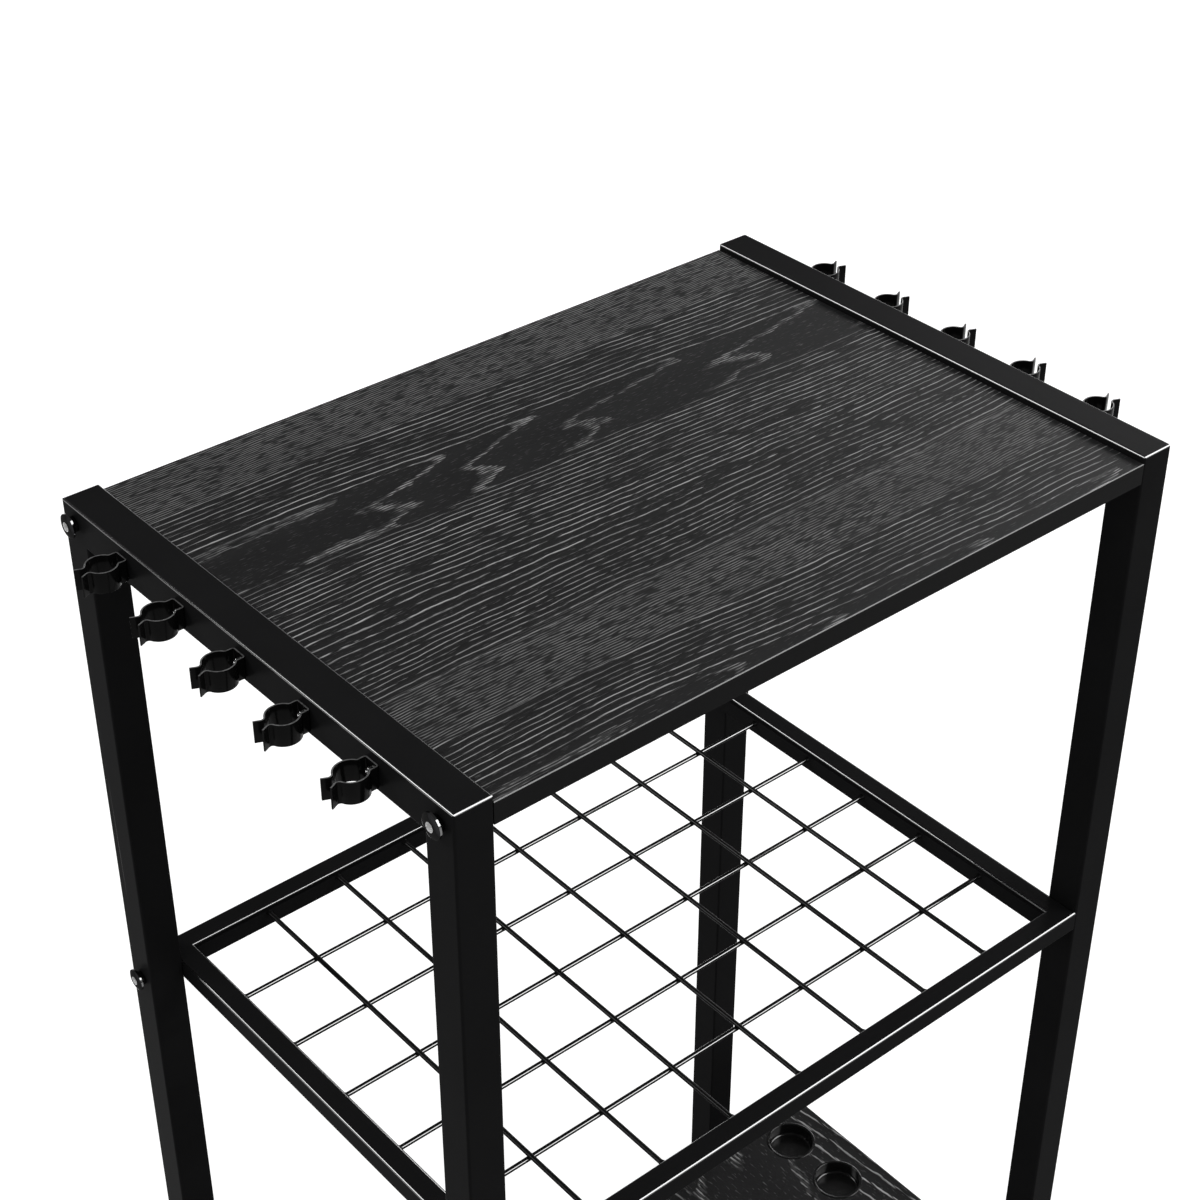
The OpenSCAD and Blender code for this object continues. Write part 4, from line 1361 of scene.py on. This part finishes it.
class RODRACK_OT_add_bolts(bpy.types.Operator):
    """Makes the frame bolts and the lower board's screws"""
    bl_idname = "rodrack.add_bolts"
    bl_label = "Bolts and board screws"

    def execute(self, context):
        size = context.scene.rod_rack.fastener
        for name, node, height, length in (
            ("top_domed_bolts", "top_bolts", TOP_BOLT_Z, size.top_bolt_length),
            ("shelf_domed_bolts", "shelf_bolts", SHELF_BOLT_Z, size.shelf_bolt_length),
        ):
            shape = turned_out(domed_bolt(size, length))
            bolts = on_row(shape, name, "dark_chrome", len(ENDS), 2 * POST_Y, FRAME_X, height)
            seat(bolts, "rack", "dark_chrome", node)
        lo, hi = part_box("board_screws")
        shape = cross_screw(size.board_screw, size.board_screw_pitch, hi.z - lo.z - size.board_head_height,
                            size.board_head, size.board_head_height, size.board_head * BOARD_RECESS)
        shape.transform(Matrix.Rotation(math.pi, 4, "X"))
        per_side = 3
        pitch = (hi.y - lo.y - size.board_head) / (per_side - 1)
        screws = on_row(shape, "cross_board_screws", "zinc_steel", per_side, pitch, POST_X,
                        lo.z + size.board_head_height)
        seat(screws, "rack", "zinc_steel", "board_screws")
        return {"FINISHED"}


class RODRACK_OT_add_feet(bpy.types.Operator):
    """Makes the levelling feet: a threaded stem and a pad at each corner"""
    bl_idname = "rodrack.add_feet"
    bl_label = "Levelling feet"

    def execute(self, context):
        size = context.scene.rod_rack.foot
        for corner in CORNERS:
            place = middle(f"{corner}_pad")
            stem = stem_mesh(size, *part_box(f"{corner}_stem"), place)
            stem = new_piece(stem, f"{corner}_threaded_stem")
            seat(stem, f"{corner}_screw", "zinc_steel", f"{corner}_stem")
            pad = pad_mesh(size, *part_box(f"{corner}_pad"), place)
            pad = new_piece(pad, f"{corner}_ribbed_pad")
            seat(pad, f"{corner}_foot", "pad_rubber", f"{corner}_pad")
        return {"FINISHED"}


# The studio

# Width of the camera's film in millimetres, and half the width of the floor in metres
SENSOR_WIDTH = 36
FLOOR_REACH = 30.0
# Soft boxes of the studio, as glossy surfaces see them: direction, inner and outer angle in degrees,
# and brightness
SOFT_BOXES = (
    ((0.55, -0.60, 0.58), 21, 26, 8.0),
    ((-0.62, 0.56, 0.55), 8, 13, 8.0),
    ((0.78, 0.44, 0.46), 6, 14, 13.0),
)
# How far the lamps stand from the rack's top, and for each its name, the directions to its two ends,
# its width, and the setting that holds its power
LAMP_DISTANCE = 8.0
LAMPS = (
    ("key_lamp", (0.36, -0.67, 0.66), (0.74, -0.48, 0.47), 0.5, "key"),
    ("rim_lamp", (-0.67, 0.49, 0.56), (-0.53, 0.72, 0.45), 0.9, "rim"),
    ("board_lamp", (0.80, 0.52, 0.45), (0.73, 0.30, 0.57), 1.5, "sheen"),
)


class RODRACK_OT_set_stage(bpy.types.Operator):
    """Sets the floor, the surroundings, the lamps and the camera"""
    bl_idname = "rodrack.set_stage"
    bl_label = "Studio"

    def execute(self, context):
        scene = context.scene
        studio = scene.rod_rack.studio
        scene.view_settings.view_transform = "Standard"
        studio_floor(studio)
        surroundings(scene, studio)
        for name, start, end, width, power in LAMPS:
            strip_lamp(name, Vector(start), Vector(end), width, getattr(studio, power))
        camera = bpy.data.cameras.new("camera")
        camera.lens = studio.lens
        camera.sensor_width = SENSOR_WIDTH
        holder = bpy.data.objects.new("camera", camera)
        holder.location = studio.camera_place
        holder.rotation_euler = studio.camera_turn
        scene.collection.objects.link(holder)
        scene.camera = holder
        return {"FINISHED"}


def studio_floor(studio):
    """A wide pale floor that keeps the rack's shadow and shows as near white."""
    made = bmesh.new()
    made.faces.new([made.verts.new((x * FLOOR_REACH, y * FLOOR_REACH, 0.0))
                    for x, y in ((-1, -1), (1, -1), (1, 1), (-1, 1))])
    mesh = bpy.data.meshes.new("floor")
    made.to_mesh(mesh)
    made.free()
    material, sheet, shader = new_material("studio_floor")
    patch = sheet.noise(sheet.place(), 3.0, detail=4.0)
    tint = sheet.mix(patch, colour4(studio.floor, 0.98), colour4(studio.floor, 1.02))
    sheet.put(shader.inputs["Base Color"], tint)
    shader.inputs["Roughness"].default_value = 0.9
    shader.inputs["Specular IOR Level"].default_value = 0.1
    path = sheet.add("ShaderNodeLightPath").outputs
    seen = sheet.math("MAXIMUM", path["Is Camera Ray"], path["Is Glossy Ray"])
    seen = sheet.math("MAXIMUM", seen, path["Is Transmission Ray"])
    shader.inputs["Emission Color"].default_value = (1.0, 1.0, 1.0, 1.0)
    sheet.put(shader.inputs["Emission Strength"], sheet.math("MULTIPLY", seen, studio.floor_glow))
    mesh.materials.append(material)
    return new_piece(mesh, "floor")


def surroundings(scene, studio):
    """White to the camera, even light on the object, and a studio that darkens overhead in reflections."""
    world = bpy.data.worlds.new("studio")
    world.use_nodes = True
    scene.world = world
    sheet = NodeSheet(world.node_tree)
    background = world.node_tree.nodes["Background"]
    path = sheet.add("ShaderNodeLightPath").outputs
    direction = sheet.add("ShaderNodeTexCoord").outputs["Generated"]
    height = sheet.parts(direction)[2]
    reflected = sheet.ramp(height, 0.0, 0.3, 1.0, studio.overhead)
    for place, inner, outer, brightness in SOFT_BOXES:
        facing = sheet.add("ShaderNodeVectorMath", {
            0: direction, 1: Vector(place).normalized(),
        }, operation="DOT_PRODUCT").outputs["Value"]
        rim, core = math.cos(math.radians(outer)), math.cos(math.radians(inner))
        reflected = sheet.math("ADD", reflected, sheet.ramp(facing, rim, core, 0.0, brightness))
    mirror = sheet.math("MAXIMUM", path["Is Glossy Ray"], path["Is Transmission Ray"])
    even = sheet.ramp(height, 0.0, 0.95, studio.ambient * 0.7, studio.ambient * 1.6)
    strength = sheet.between(mirror, even, reflected)
    strength = sheet.between(path["Is Camera Ray"], strength, 1.0)
    background.inputs["Color"].default_value = (1.0, 1.0, 1.0, 1.0)
    sheet.put(background.inputs["Strength"], strength)


def strip_lamp(name, one, other, width, power):
    """A strip lamp that faces the rack's front top edge. Its ends stand in two directions from there."""
    target = Vector((0.0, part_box("top_board")[0].y, BOARD_TOP))
    one, other = target + one * LAMP_DISTANCE, target + other * LAMP_DISTANCE
    lamp = bpy.data.lights.new(name, "AREA")
    lamp.shape = "RECTANGLE"
    lamp.size = (other - one).length
    lamp.size_y = width
    lamp.energy = power
    place = (one + other) / 2
    along = (other - one).normalized()
    back = (place - target).normalized()
    back = (back - along * back.dot(along)).normalized()
    turn = Matrix((along, back.cross(along), back)).transposed()
    holder = bpy.data.objects.new(name, lamp)
    holder.location = place
    holder.rotation_euler = turn.to_euler()
    holder.visible_glossy = False
    bpy.context.scene.collection.objects.link(holder)


class RODRACK_PT_panel(bpy.types.Panel):
    """Lists the rod rack's steps in the 3D view's sidebar"""
    bl_idname = "RODRACK_PT_panel"
    bl_label = "Rod rack"
    bl_space_type = "VIEW_3D"
    bl_region_type = "UI"
    bl_category = "Rod rack"

    def draw(self, context):
        for step in STEPS:
            self.layout.operator(step.bl_idname)


GROUPS = (
    RackFinish, ShelfSizes, ClipSizes, CupSizes, FastenerSizes, FootSizes, StudioSizes, RodRackSettings,
)
STEPS = (
    RODRACK_OT_set_stage, RODRACK_OT_finish_frame, RODRACK_OT_add_shelf_mesh, RODRACK_OT_add_clips,
    RODRACK_OT_add_cups, RODRACK_OT_add_bolts, RODRACK_OT_add_feet,
)
CLASSES = (*GROUPS, *STEPS, RODRACK_PT_panel)


def register():
    for cls in CLASSES:
        bpy.utils.register_class(cls)
    bpy.types.Scene.rod_rack = PointerProperty(type=RodRackSettings)


def unregister():
    del bpy.types.Scene.rod_rack
    for cls in reversed(CLASSES):
        bpy.utils.unregister_class(cls)


def main():
    """Dresses the rack."""
    register()
    for step in STEPS:
        family, action = step.bl_idname.split(".")
        getattr(getattr(bpy.ops, family), action)()


if __name__ == "__main__":
    main()
